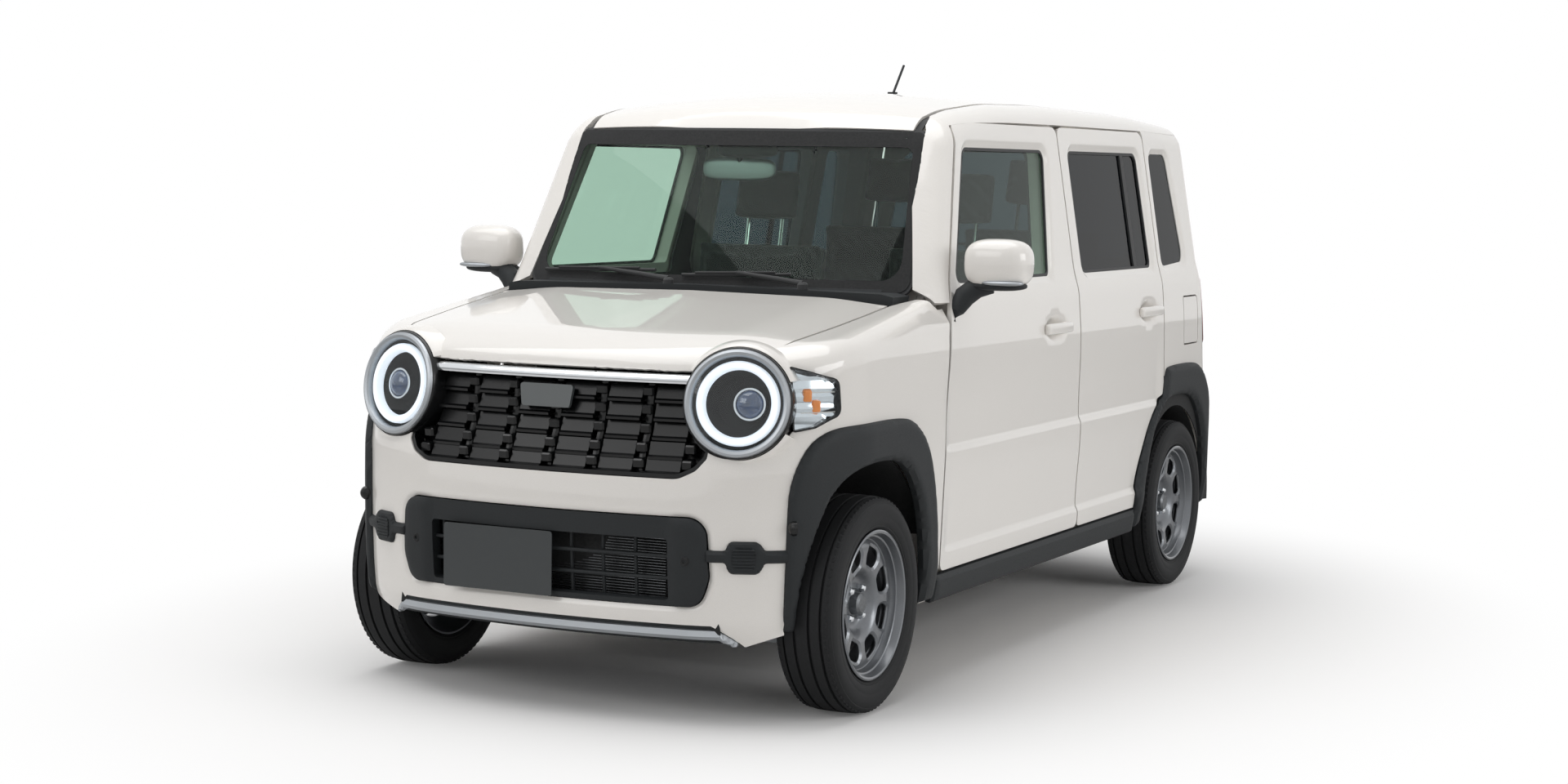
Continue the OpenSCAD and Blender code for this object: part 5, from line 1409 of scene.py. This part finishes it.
# %% Turn signals
BOX_XZ = [(606, 905), (650, 893), (690, 876), (694, 790), (660, 760), (622, 750)]
SIGNAL = fillet(to_front(BOX_XZ), [6, 16, 20, 22, 20, 6])
signal = sheet_mesh(front_plan, nose, SIGNAL, gap=10, edge=6, lift=15, thick=3)
signal_back = sheet_mesh(front_plan, nose, SIGNAL, gap=10, edge=6, lift=2, thick=8,
                         press=lambda p: 3 * np.sin(p[:, 2] / 2.6) * (np.abs(p[:, 2] - 830) < 60))
signal_edge = sheet_mesh(front_plan, nose, grown(SIGNAL, 3), [grown(SIGNAL, -3)], gap=40, edge=6, lift=12,
                         thick=16)
piece("turn_signal_lens", both(signal), clear_lens, "body", "glass")
piece("turn_signal_reflector", both(signal_back), chrome, "body", "alloy")
piece("turn_signal_rim", both(signal_edge), gloss, "body", "trim_plastic")
bulbs = []
for x, z in ((648, 838), (664, 812)):
    y = nose_y(x, z)
    bulbs.append(moved(soft_block((22, 12, 30), 5), (x, y - 4, z),
                       [(0.8, 0.6, 0), (-0.6, 0.8, 0), (0, 0, 1)]))
piece("turn_signal_bulbs", both(*bulbs), amber, "body", "glass")
print("lamps ready")

# %% [markdown]
# ## Lower intake, reflectors and garnish
# The opening low in the bumper has a black frame with a pod at each end, and thin bars across and
# upright before the radiator's fins. A number plate, left blank, hangs in front of it. Black links
# run from the frame to a ribbed reflector on each side, and a silver garnish closes the bottom.

# %% Lower intake
INNER = fillet([(-350, 478), (350, 478), (350, 322), (-350, 322)], 10)


def pod_press(p):
    """The two ends of the frame bulge out, rounded towards the edge of the opening."""
    t = np.clip(away(p[:, [0, 2]], INTAKE) / 22, 0, 1)
    return 11 * step(np.abs(p[:, 0]), 352, 372) * np.sqrt(np.clip(1 - (1 - t) ** 2, 0, 1))


pods = front_sheet(grown(INTAKE, -3), INNER, gap=14, edge=7, lift=-3, thick=30, press=pod_press)
bar_shapes = [pods]
for z, r in ((432, 5), (376, 5)):
    bar_shapes.append(tube([(x, nose_y(x, z) + 22, z) for x in np.linspace(-356, 356, 40)], r, 10))
for x in (70, 160, 250, -330):
    bar_shapes.append(tube([(x, nose_y(x, z) + 34, z) for z in (480, 440, 400, 360, 318)], 5, 8))
piece("lower_grille_frame", merged(*bar_shapes), trim, "body", "trim_plastic", "lower_grille")
# A black sheet deep in the opening: painted shade for the dark inside of the intake.
behind = front_sheet(grown(INNER, 12), gap=40, edge=20, lift=-70, thick=4)
piece("intake_shade", behind, cavity, "body", "trim_plastic")
fin = soft_block((1, 1, 1), 0.2, 1)
fins = [(0, -1612, z) for z in np.arange(322, 480, 7.0)]
piece("radiator_fins", repeated(fin, fins, [(0, 0, 0)] * len(fins), steel, (640, 16, 2.4)), steel, "body",
      "alloy")
screws = [(s * 398, nose_y(398, 425) - 6, 425) for s in (-1, 1)]
screw_head = outward(turned([(0.5, -3), (12, -3), (12, 2), (9, 5), (5, 5), (4, 1), (0.5, 1)], 16))
turn_front = [(0, 0, -math.pi / 2)] * 2
piece("intake_screws", repeated(screw_head, screws, turn_front, cavity), cavity, "body", "trim_plastic")
PLATE = fillet([(-293, 477), (37, 477), (37, 312), (-293, 312)], 8)


def plate_plane(p):
    """A flat plane just before the bumper, turned a little to the side."""
    return p[:, 1] * -1 - 1702 - 0.02 * p[:, 0]


plate_shape = sheet_mesh(front_plan, plate_plane, PLATE, gap=30, edge=10, thick=2.5)
plate_paint = grained("blank_painted_plate", "#23282A", 0.5, 15, 0.05, 0.1, 0.42, 0.55, Coat_Weight=0.3)
holder = moved(soft_block((250, 36, 20), 5), (-128, -1676, 440))
piece("number_plate", plate_shape, plate_paint, "body", "trim_plastic")
piece("plate_holder", holder, trim, "body", "trim_plastic")

# %% Reflectors and garnish
LINK_XZ = fillet([(446, 454), (492, 454), (500, 478), (566, 478), (580, 456), (640, 456),
                  (640, 424), (580, 424), (566, 396), (500, 396), (492, 424), (446, 424)],
                 [2, 8, 16, 16, 8, 2, 2, 8, 16, 16, 8, 2])
link = band_mesh(front_plan, nose, to_front(LINK_XZ), 11, 10, gap=9, edge=5, thick=12)
LENS = fillet([(509, 464), (559, 464), (559, 410), (509, 410)], 10)
reflector = front_sheet(LENS, gap=4, edge=4, rows=np.arange(412, 463, 1.9), lift=13, thick=6,
                        press=lambda p: 1.6 * np.sin(p[:, 2] / 1.25))
piece("bumper_links", both(link), trim, "body", "trim_plastic")
piece("bumper_reflectors", both(reflector), trim, "body", "trim_plastic")
GARNISH_XZ = fillet([(-470, 250), (470, 250), (516, 214), (496, 210), (462, 226), (-462, 226), (-496, 210),
                     (-516, 214)], [10, 10, 6, 4, 10, 10, 4, 6])
garnish = band_mesh(front_plan, nose, to_front(GARNISH_XZ), 13, 9, gap=9, edge=6, thick=20)
SHADOW_XZ = fillet([(-462, 264), (462, 264), (526, 212), (-526, 212)], 6)
shadow_line = front_sheet(SHADOW_XZ, gap=12, edge=8, lift=-3, thick=30)
piece("bumper_garnish", garnish, silver, "body", "alloy")
piece("bumper_shadow_line", shadow_line, trim, "body", "trim_plastic")
round_sensor = outward(turned([(0.5, -6), (19, -6), (19, 3), (15, 9), (8, 12), (0.5, 12.5)], 24))
buttons = [(s * 640, nose_y(638, 512) - 16, 512) for s in (-1, 1)]
piece("parking_sensors", repeated(round_sensor, buttons, [(0, 0, -0.75), (0, 0, -math.pi + 0.75)], gloss),
      gloss, "body", "trim_plastic")
print("lower front ready")

# %% [markdown]
# ## Windscreen
# The windscreen is a single curved pane with a printed black border that hides the glue. The
# border is modelled as a thin band on the outside, so the glass inside it stays clear.

# %% Windscreen
SCREEN = fillet([(-604, 1066), (604, 1066), (554, 1506), (-554, 1506)], [30, 30, 20, 20])
CLEAR = fillet([(-574, 1097), (574, 1097), (530, 1463), (-530, 1463)], [50, 50, 24, 24])
glass = sheet_mesh(face_on, cabin, SCREEN, gap=34, edge=16, lift=-2, thick=5, depth=FACE_DEPTH)
border = sheet_mesh(face_on, cabin, SCREEN, [CLEAR], gap=30, edge=10, lift=-0.6, thick=1.2,
                    depth=FACE_DEPTH)
gasket = sheet_mesh(face_on, cabin, grown(SCREEN, 9), [grown(SCREEN, -5)], gap=40, edge=10, lift=-4,
                    thick=12, depth=FACE_DEPTH)
piece("windscreen_pane", glass, green_glass, "body", "glass", "windscreen")
piece("windscreen_border", border, cavity, "body", "glass")
piece("windscreen_gasket", gasket, rubber, "body", "trim_plastic")
print("windscreen", len(glass[1]), "triangles")

# %% [markdown]
# ## Wheels and tyres
# A pressed wheel is a disc welded into a rim. The disc has eight rounded windows, a crown where it
# bends, and a deep bowl for the hub with four nuts. The tyre is turned from its section, with
# grooves round the tread and small blocks on each shoulder.

# %% Wheel parts
disc_curve = soft_curve([(0, 6), (62, 6), (70, 9), (82, 32), (94, 40), (112, 43), (140, 46), (156, 44),
                         (168, 36), (176, 28)], 6)
windows = []
for k in range(8):
    middle = math.radians(22.5 + 45 * k)
    polar = [(103, -12.5), (103, 12.5), (128, 15.6), (155, 11), (155, -11), (128, -15.6)]
    corners = [(r * math.cos(middle + math.radians(a)), r * math.sin(middle + math.radians(a)))
               for r, a in polar]
    windows.append(spaced(fillet(corners, [14, 14, 26, 13, 13, 26]), 4))


def disc_mesh():
    """The pressed disc, made flat on its own sheet and then turned to face outwards."""
    flatwrap = Wrap([(-400, 0), (400, 0)], 0, (0, 1))
    rings_at = [ring(0, 0, r, count=max(24, int(r * 0.7)))
                for r in (40, 62, 70, 76, 82, 88, 94, 163, 168, 171)]
    rule = lambda p: -p[:, 1] - disc_curve(np.hypot(p[:, 0], p[:, 2]))
    flatwrap.along -= 400
    flatwrap.path[:, 1] = -60
    folds = rings_at + [grown(w, d) for w in windows for d in (3.5, 7)]

    def lip(p):
        flat = p[:, [0, 2]]
        d = np.min([away(flat, w) for w in windows], axis=0)
        return -5 * (1 - step(d, 0, 7))

    points, faces = sheet_mesh(flatwrap, rule, ring(0, 0, 174, count=120), windows, folds, gap=9, edge=5,
                               thick=3.5, press=lip, depth=120)
    return points[:, [1, 0, 2]] * [-1, 1, 1], [tuple(f)[::-1] for f in faces]


disc = outward(disc_mesh())
rim_outer = [(195, 70), (195, 74), (191, 76), (186, 74), (183, 66), (180, 56), (176, 54), (174, 44),
             (171, 36), (152, 24), (150, -20), (168, -40), (183, -60), (190, -74), (195, -74)]
rim_inner = [(190, -70), (186, -58), (172, -36), (154, -18), (156, 22), (175, 32), (180, 46), (186, 60),
             (190, 70)]
rim = outward(turned(rim_outer + rim_inner, 120))
hub = outward(turned([(0.5, -30), (64, -30), (64, 5), (40, 7), (36, 12), (30, 14), (28, 34), (22, 40),
                      (0.5, 41)], 48))
brake = outward(turned([(60, -40), (125, -40), (125, -24), (60, -24)], 72))
nut = outward(turned([(0.5, 0), (11.5, 0), (11.5, 14), (9.5, 19), (6, 24), (0.5, 25.5)], 6))
nut_places = [(6, 50 * math.cos(a), 50 * math.sin(a)) for a in np.radians([45, 135, 225, 315])]
nuts = repeated(nut, nut_places, [(0, 0, 0)] * 4, chrome)

section = [(192, 62), (198, 70), (204, 75), (207, 74.5), (210, 77), (226, 80.5), (229, 80), (232, 81),
           (250, 81.5), (262, 79), (264, 77.5), (267, 77.5), (272, 73), (276.5, 66)]
tread = [(278.5, 60), (279, 55), (272.5, 54.5), (272.5, 48.5), (281, 48), (281.8, 24), (274.5, 23.5),
         (274.5, 16.5), (282, 16)]
right_half = section + tread
tyre_profile = right_half + [(r, -a) for r, a in reversed(right_half)]
tyre = outward(turned(tyre_profile + [(190, -60), (189, 0), (190, 60)], 144))
block = soft_block((1, 1, 1), 0.12, 1)
shoulder, shoulder_turn = [], []
for side in (-1, 1):
    for k in range(84):
        a = 2 * math.pi * (k + 0.5 * (side > 0)) / 84
        shoulder.append((side * 62, 275.8 * math.cos(a), 275.8 * math.sin(a)))
        shoulder_turn.append((a, 0, 0))
blocks = repeated(block, shoulder, shoulder_turn, tyre_rubber, (14, 4.5, 13))


def set_down(shape, sign, y):
    """A wheel part in its place on the left (1) or right (-1) of an axle."""
    return outward((np.asarray(shape[0]) * [sign, 1, 1] + [sign * TRACK_HALF, y, HUB_Z], shape[1]))


for end, y in zip(("front", "rear"), AXLES):
    for side, sign in (("left", 1), ("right", -1)):
        body = f"wheel_{end}_{side}"
        place = sign, y
        piece(f"{body}_disc", set_down(merged(disc, rim), *place), gunmetal, body, "wheel", body)
        piece(f"{body}_hub", set_down(merged(hub, brake), *place), steel, body, "steel")
        piece(f"{body}_nuts", set_down(nuts, *place), chrome, body, "steel")
        piece(f"{body}_tyre", set_down(tyre, *place), tyre_rubber, body, "tyre", f"tyre_{end}_{side}")
        piece(f"{body}_tread", set_down(blocks, *place), tyre_rubber, body, "tyre")


def trough(rows):
    """A closed body from rows of points along an arc, with a flat face at each end."""
    n, count = len(rows), len(rows[0])
    faces = [(r * count + k, r * count + k + 1, (r + 1) % n * count + k + 1, (r + 1) % n * count + k)
             for r in range(n) for k in range(count - 1)]
    ends = [tuple(r * count for r in range(n)), tuple(r * count + count - 1 for r in range(n))[::-1]]
    return outward((np.vstack(rows), faces + ends))


def liner(y_mid, r, x_in, x_out):
    """Half drum that closes a wheel housing, open towards the wheel."""
    t = np.radians(np.linspace(-6, 186, 40))
    y, z = y_mid + r * np.cos(t), HUB_Z + r * np.sin(t)
    outer = np.array([min(x_out, nose_x(v, 400) - 32) if v < -1400 else x_out for v in y])
    inner, behind = np.full(len(t), x_in), np.full(len(t), x_in - 4)
    rows = [(outer, 1.0), (inner, 1.0), (inner, 0.1), (behind, 0.1), (behind, 1.01), (outer, 1.01)]
    return trough([np.stack([x, y_mid + (y - y_mid) * k, HUB_Z + (z - HUB_Z) * k], 1) for x, k in rows])


def flange(y_mid, inner, outer, x):
    """Flat ring that closes the gap between a housing and the arch band."""
    t = np.radians(np.linspace(-4, 184, 40))
    rings = [(inner, x), (outer, x), (outer, x - 3), (inner, x - 3)]
    return trough([np.stack([np.full(len(t), w), y_mid + r * np.cos(t), HUB_Z + r * np.sin(t)], 1)
                   for r, w in rings])


drums = [flange(AXLES[1], 334, 398, 712), liner(AXLES[0], 388, 385, 690), liner(AXLES[1], 336, 546, 700)]
piece("arch_liners", both(*drums), cavity, "body", "trim_plastic")
print("wheels ready", len(tyre[1]), "tyre faces")

# %% [markdown]
# ## Mirrors, handles and wipers
# The door mirrors are smooth pods on a black arm, flat at the back where the glass sits. A pod is a
# ball whose coordinates are raised to a power, which squares it off. The door handles are grips
# that bridge a dish in the door, and the wipers lie along the foot of the windscreen.

# %% Mirrors and handles
def pod(middle, half, power, back=1.0, count=40):
    """A squared-off ball; back cuts it flat towards the rear."""
    t, f = np.meshgrid(np.linspace(0, 2 * math.pi, count, endpoint=False),
                       np.linspace(0.03, math.pi - 0.03, count // 2))
    round_off = lambda v: np.sign(v) * np.abs(v) ** (2 / power)
    x, y = round_off(np.cos(t)) * round_off(np.sin(f)), round_off(np.cos(f)) + 0 * t
    z = round_off(np.sin(t)) * round_off(np.sin(f))
    points = np.stack([x, np.minimum(y, back), z], -1).reshape(-1, 3) * half + middle
    return outward((points, quads(count // 2, count) + caps(count // 2, count)))


MIRROR = np.array([818.0, -664.0, 1150.0])
mirror_pod = pod(MIRROR, (94, 64, 68), 3.0, 0.62)
mirror_glass = pod(MIRROR + [0, 38, 2], (82, 5, 55), 3.4)
mirror_strip = pod(MIRROR + [26, -38, -51], (60, 26, 8), 2.6)
mirror_base = pod(MIRROR + [-4, -2, -60], (84, 50, 14), 2.6)
mirror_arm = tube([(704, -712, 992), (712, -706, 1020), (730, -694, 1058), (760, -680, 1084),
                   (800, -668, 1094)], [10, 22, 30, 30, 26], 20)
grip = soft_block((20, 204, 33), 9.5, 4)
MIRROR_PARTS = (("pod", mirror_pod, paint, "paint"), ("glass", mirror_glass, chrome, "glass"),
                ("strip", mirror_strip, silver, "glass"),
                ("arm", merged(mirror_base, mirror_arm), trim, "trim_plastic"))
for side in ("left", "right"):
    for name, shape, finish, slot in MIRROR_PARTS:
        nodes = (f"mirror_{side}",) if name == "pod" else ()
        piece(f"mirror_{side}_{name}", on_side(shape, side), finish, f"door_front_{side}", slot, *nodes)
    for end, (y, z) in zip(("front", "rear"), HANDLES):
        handle = moved(grip, (side_width(z) + 9, y, z))
        piece(f"door_{end}_{side}_grip", on_side(handle, side), paint, f"door_{end}_{side}", "paint")


# %% Wipers
def on_screen(x, z, off):
    """A point a little above the windscreen, from its place in the front view."""
    point = face_on.onto(cabin, np.array([[x, z]], float), FACE_DEPTH)
    return (point + slope(cabin, point) * off)[0]


wiper_shapes = []
for pivot_x, tip_x in ((-90, -545), (330, -60)):
    blade = [on_screen(x, z, 9) for x, z in zip(np.linspace(pivot_x - 60, tip_x, 16),
                                                np.linspace(1104, 1094, 16))]
    pivot = np.array([pivot_x, -884, 1078])
    middle = on_screen(0.5 * (pivot_x + tip_x) - 20, 1100, 22)
    arm = [pivot + [0, 0, 8], pivot * 0.6 + middle * 0.4 + [0, 0, 6], middle]
    cap = turned([(0.5, -8), (15, -8), (15, 6), (10, 12), (0.5, 13)], 20)
    wiper_shapes += [tube(blade, 5, 8), tube([p + [0, -3, 6] for p in blade[2:-2]], 3.5, 8),
                     tube(arm, [9, 7, 5], 10), outward(moved(cap, pivot,
                                                             [(0, 0, 1), (1, 0, 0), (0, 1, 0)]))]
piece("wiper_arms", merged(*wiper_shapes), rubber, "body", "trim_plastic", "wipers")
print("mirrors, handles and wipers ready")

# %% [markdown]
# ## Tail
# The tail lamps wrap round the rear corners in one red lens with a dark rim. The rear bumper is a
# single white moulding between the arch bands, with a black lower edge and two reflectors.

# %% Tail lamps and rear bumper
lens_side = float(quarter_side([(1546, 900)])[0][0])
TAIL_LENS = fillet([(lens_side, 812), rear_place(640, 812), rear_place(640, 1048), (lens_side + 6, 1048)],
                   [20, 14, 14, 20])
tail_lens = sheet_mesh(quarter_plan, cabin, TAIL_LENS, gap=14, edge=7, lift=7, thick=9)
tail_ring = sheet_mesh(quarter_plan, cabin, grown(TAIL_LENS, 5), [grown(TAIL_LENS, -4)], gap=60, edge=7,
                       lift=4, thick=10)
piece("tail_lamp_lenses", both(tail_lens), red_lens, "body", "red_lens", "tail_lamps")
piece("tail_lamp_rims", both(tail_ring), gloss, "body", "trim_plastic")
rear_end = abs(rear_plan.at(722, 1566))
REAR_BUMPER = fillet([(rear_end, 300), (-rear_end, 300), (-rear_end, 470), (rear_end, 470)], 10)
rear_skin = sheet_mesh(rear_plan, cabin_low, REAR_BUMPER, gap=24, edge=10, thick=10)
REAR_SKIRT = fillet([(-rear_end + 20, 246), (rear_end - 20, 246), (rear_end - 20, 312),
                     (-rear_end + 20, 312)], 10)
rear_skirt = band_mesh(rear_plan, cabin_low, REAR_SKIRT, 9, 16, gap=16, edge=9, thick=14)
piece("rear_bumper_skin", rear_skin, paint, "body", "paint", "rear_bumper")
piece("rear_bumper_skirt", rear_skirt, trim, "body", "trim_plastic")
RED_X, RED_TURN = 520, 0.17
rear_red = [moved(soft_block((120, 8, 26), 3.5), (s * RED_X, REAR_Y - RED_X ** 2 / (2 * TAIL_R) + 4, 352),
                  [(1, -RED_TURN * s, 0), (RED_TURN * s, 1, 0), (0, 0, 1)]) for s in (-1, 1)]
piece("rear_reflectors", merged(*rear_red), red_lens, "body", "red_lens")
print("tail ready")

# %% [markdown]
# ## Tailgate fittings
# A handle bar runs above the recess, a wiper lies at the foot of the rear window and a third stop
# lamp sits above it. All of them ride on the tailgate.

# %% Tailgate fittings
HANDLE_XZ = fillet([(-268, 836), (268, 836), (256, 876), (-256, 876)], 12)
handle_bar = band_mesh(over_tail, cabin, to_tail(HANDLE_XZ), 17, 12, gap=11, edge=7, thick=12)
piece("tailgate_handle_bar", handle_bar, gloss, "tailgate", "trim_plastic")
STOP_XZ = fillet([(-150, 1497), (150, 1497), (150, 1519), (-150, 1519)], 7)
stop_lamp = sheet_mesh(over_tail, cabin, to_tail(STOP_XZ), gap=9, edge=6, lift=6, thick=9)
piece("high_stop_lamp", stop_lamp, red_lens, "tailgate", "red_lens")


def on_pane(x, z, off):
    """A point a little behind the tailgate."""
    return x, tail_y(x, z) + off, z


sweep_blade = [on_pane(x, 1128 - 0.02 * x, 3) for x in np.linspace(40, -330, 16)]
sweep_arm = [on_pane(6, 1078, 22), on_pane(-30, 1096, 26), on_pane(-90, 1116, 22), on_pane(-150, 1131, 14)]
pivot_cap = outward(moved(turned([(0.5, -6), (24, -6), (24, 14), (17, 24), (0.5, 26)], 28),
                          on_pane(6, 1078, 4), [(0, 1, 0), (1, 0, 0), (0, 0, 1)]))
piece("rear_wiper", merged(tube(sweep_blade, 5.5, 8), tube(sweep_arm, [12, 11, 9, 7], 12), pivot_cap),
      rubber, "tailgate", "trim_plastic")
print("tailgate fittings ready")

# %% [markdown]
# ## Cabin
# Through the glass one sees seats, the steering wheel, door trims and the lining of the roof. The
# seats are padded: each starts as a plain wedge, is remeshed into an even skin, and is blown up a
# little by a cloth simulation, so that the cover is crowned and pulled tight at its edges.

# %% Seats
def sewn(shape, puff_mm):
    """Remeshes a block and lets a cloth simulation puff it up."""
    pad = bpy.data.objects.new("pad", mesh_of("pad", *shape))
    scene.collection.objects.link(pad)
    skin = pad.modifiers.new("skin", "REMESH")
    skin.mode, skin.voxel_size = "VOXEL", 0.011
    soften = pad.modifiers.new("soften", "SMOOTH")
    soften.factor, soften.iterations = 0.5, 6
    settled = bpy.data.meshes.new_from_object(pad.evaluated_get(bpy.context.evaluated_depsgraph_get()))
    pad.modifiers.clear()
    pad.data = settled
    rest = np.array([v.co[:] for v in settled.vertices])
    cloth = pad.modifiers.new("cloth", "CLOTH")
    cloth.settings.use_pressure = True
    cloth.settings.uniform_pressure_force = 4.0
    cloth.settings.effector_weights.gravity = 0.0
    cloth.settings.quality = 5
    for frame_number in range(1, 21):
        scene.frame_set(frame_number)
    swollen = pad.evaluated_get(bpy.context.evaluated_depsgraph_get()).data
    moves = np.array([v.co[:] for v in swollen.vertices]) - rest
    pad.modifiers.clear()
    scene.frame_set(1)
    far = np.linalg.norm(moves, axis=1)[:, None]
    rest += moves * np.minimum(1, puff_mm * 0.001 / np.maximum(far, 1e-9))
    faces = [tuple(f.vertices) for f in settled.polygons]
    bpy.data.objects.remove(pad)
    return rest * 1000, faces


def pair(x, *shapes):
    """Shapes set down on both sides of the middle, at a distance x."""
    return merged(*[moved(shape, (s * x, 0, 0)) for s in (-1, 1) for shape in shapes])


def seat_pads(y, top, width):
    """Cushion, back and head restraint of one seat."""
    inset = 16
    cushion = prism([(y + inset, top - 172), (y + 462, top - 172), (y + 462, top - 56), (y + 26, top - 16)],
                    width - 2 * inset)
    back = prism([(y + 420, top - 100), (y + 494, top - 122), (y + 622, top + 526), (y + 556, top + 540)],
                 width - 2 * inset)
    head = prism([(y + 576, top + 606), (y + 640, top + 598), (y + 668, top + 748), (y + 620, top + 754)],
                 206)
    return sewn(merged(cushion, back, head), 22)


def seat_foot(y, top, width, length):
    """Base under a seat and the two posts of its head restraint."""
    floor_z, under = 266, top - 191
    base = soft_block((width - 62, length, under - floor_z), 18)
    base = moved(base, (0, y + 40 + length / 2, (under + floor_z) / 2))
    posts = [tube([(x, y + 592, top + 500), (x, y + 618, top + 630)], 6.5, 10) for x in (-60, 60)]
    return base, posts


for row, y, top, width, x, length in (("front", -415, 640, 480, 335, 380),
                                      ("rear", 425, 690, 520, 264, 290)):
    pads = seat_pads(y, top, width)
    base, posts = seat_foot(y, top, width, length)
    node = "front_seats" if row == "front" else "rear_seat"
    cover = piece(f"{row}_seat_covers", pair(x, pads), seat_cloth, "body", "seat_cloth", node, crisp=60)
    piece(f"{row}_seat_bases", pair(x, base), soft_plastic, "body", "soft_plastic", node)
    piece(f"{row}_head_posts", pair(x, *posts), chrome, "body", "steel", node)
    print(row, "seats", len(pads[1]), "faces each")

# %% Door trims, roof lining and mirror
def trim_press(p):
    """Depth of a door trim below the skin: less at the window, with a raised band for the armrest."""
    z = p[:, 2]
    return -np.interp(z, [1050, 1112], [101, 66]) - 7 * step(np.abs(z - 760), 60, 90) * (z < 1040)


for end, outline, window in (("front", FRONT_DOOR, FRONT_WINDOW), ("rear", REAR_DOOR, REAR_WINDOW)):
    trim_edge = flip(grown(outline, -64)).copy()
    trim_edge[:, 1] = np.maximum(trim_edge[:, 1], trim_edge[:, 1].min() + 76)
    panel = sheet_mesh(tunnel, cabin, trim_edge, [flip(grown(window, 8))], gap=30, edge=14,
                       press=trim_press, thick=5)
    for side in ("left", "right"):
        piece(f"door_{end}_{side}_trim", on_side(panel, side), soft_plastic, f"door_{end}_{side}",
              "soft_plastic")
lining_edge = np.array([(roof_rear + 90, -470), (roof_rear + 90, 470), (header - 70, 470),
                        (header - 70, -470)])
piece("roof_lining", sheet_mesh(over_roof, cabin, fillet(lining_edge, 40), gap=50, edge=25, lift=-46,
                                thick=5), lining, "body", "soft_plastic")
camera_box = pod((-14, -560, 1452), (88, 62, 24), 3.0)
inside_mirror = pod((-60, -520, 1396), (118, 14, 34), 3.4)
mirror_stalk = tube([(-40, -556, 1450), (-52, -530, 1424), (-60, -516, 1404)], 8, 10)
piece("camera_housing", merged(camera_box, mirror_stalk), trim, "body", "trim_plastic")
piece("inside_mirror", inside_mirror, silver, "body", "trim_plastic")
print("cabin dressed")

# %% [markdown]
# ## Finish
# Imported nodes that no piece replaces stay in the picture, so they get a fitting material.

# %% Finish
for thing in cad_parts.values():
    thing.data.materials.clear()
    thing.data.materials.append(cavity)
FINISHES = ((soft_plastic, ("dashboard", "steering_wheel", "steering_column")), (alloy, ("engine",)),
            (steel, ("rear_axle", "front_suspension", "exhaust", "knuckle_left", "knuckle_right")),
            (trim, ("scuttle", "antenna")))
for finish, names in FINISHES:
    for name in names:
        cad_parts[name].data.materials[0] = finish
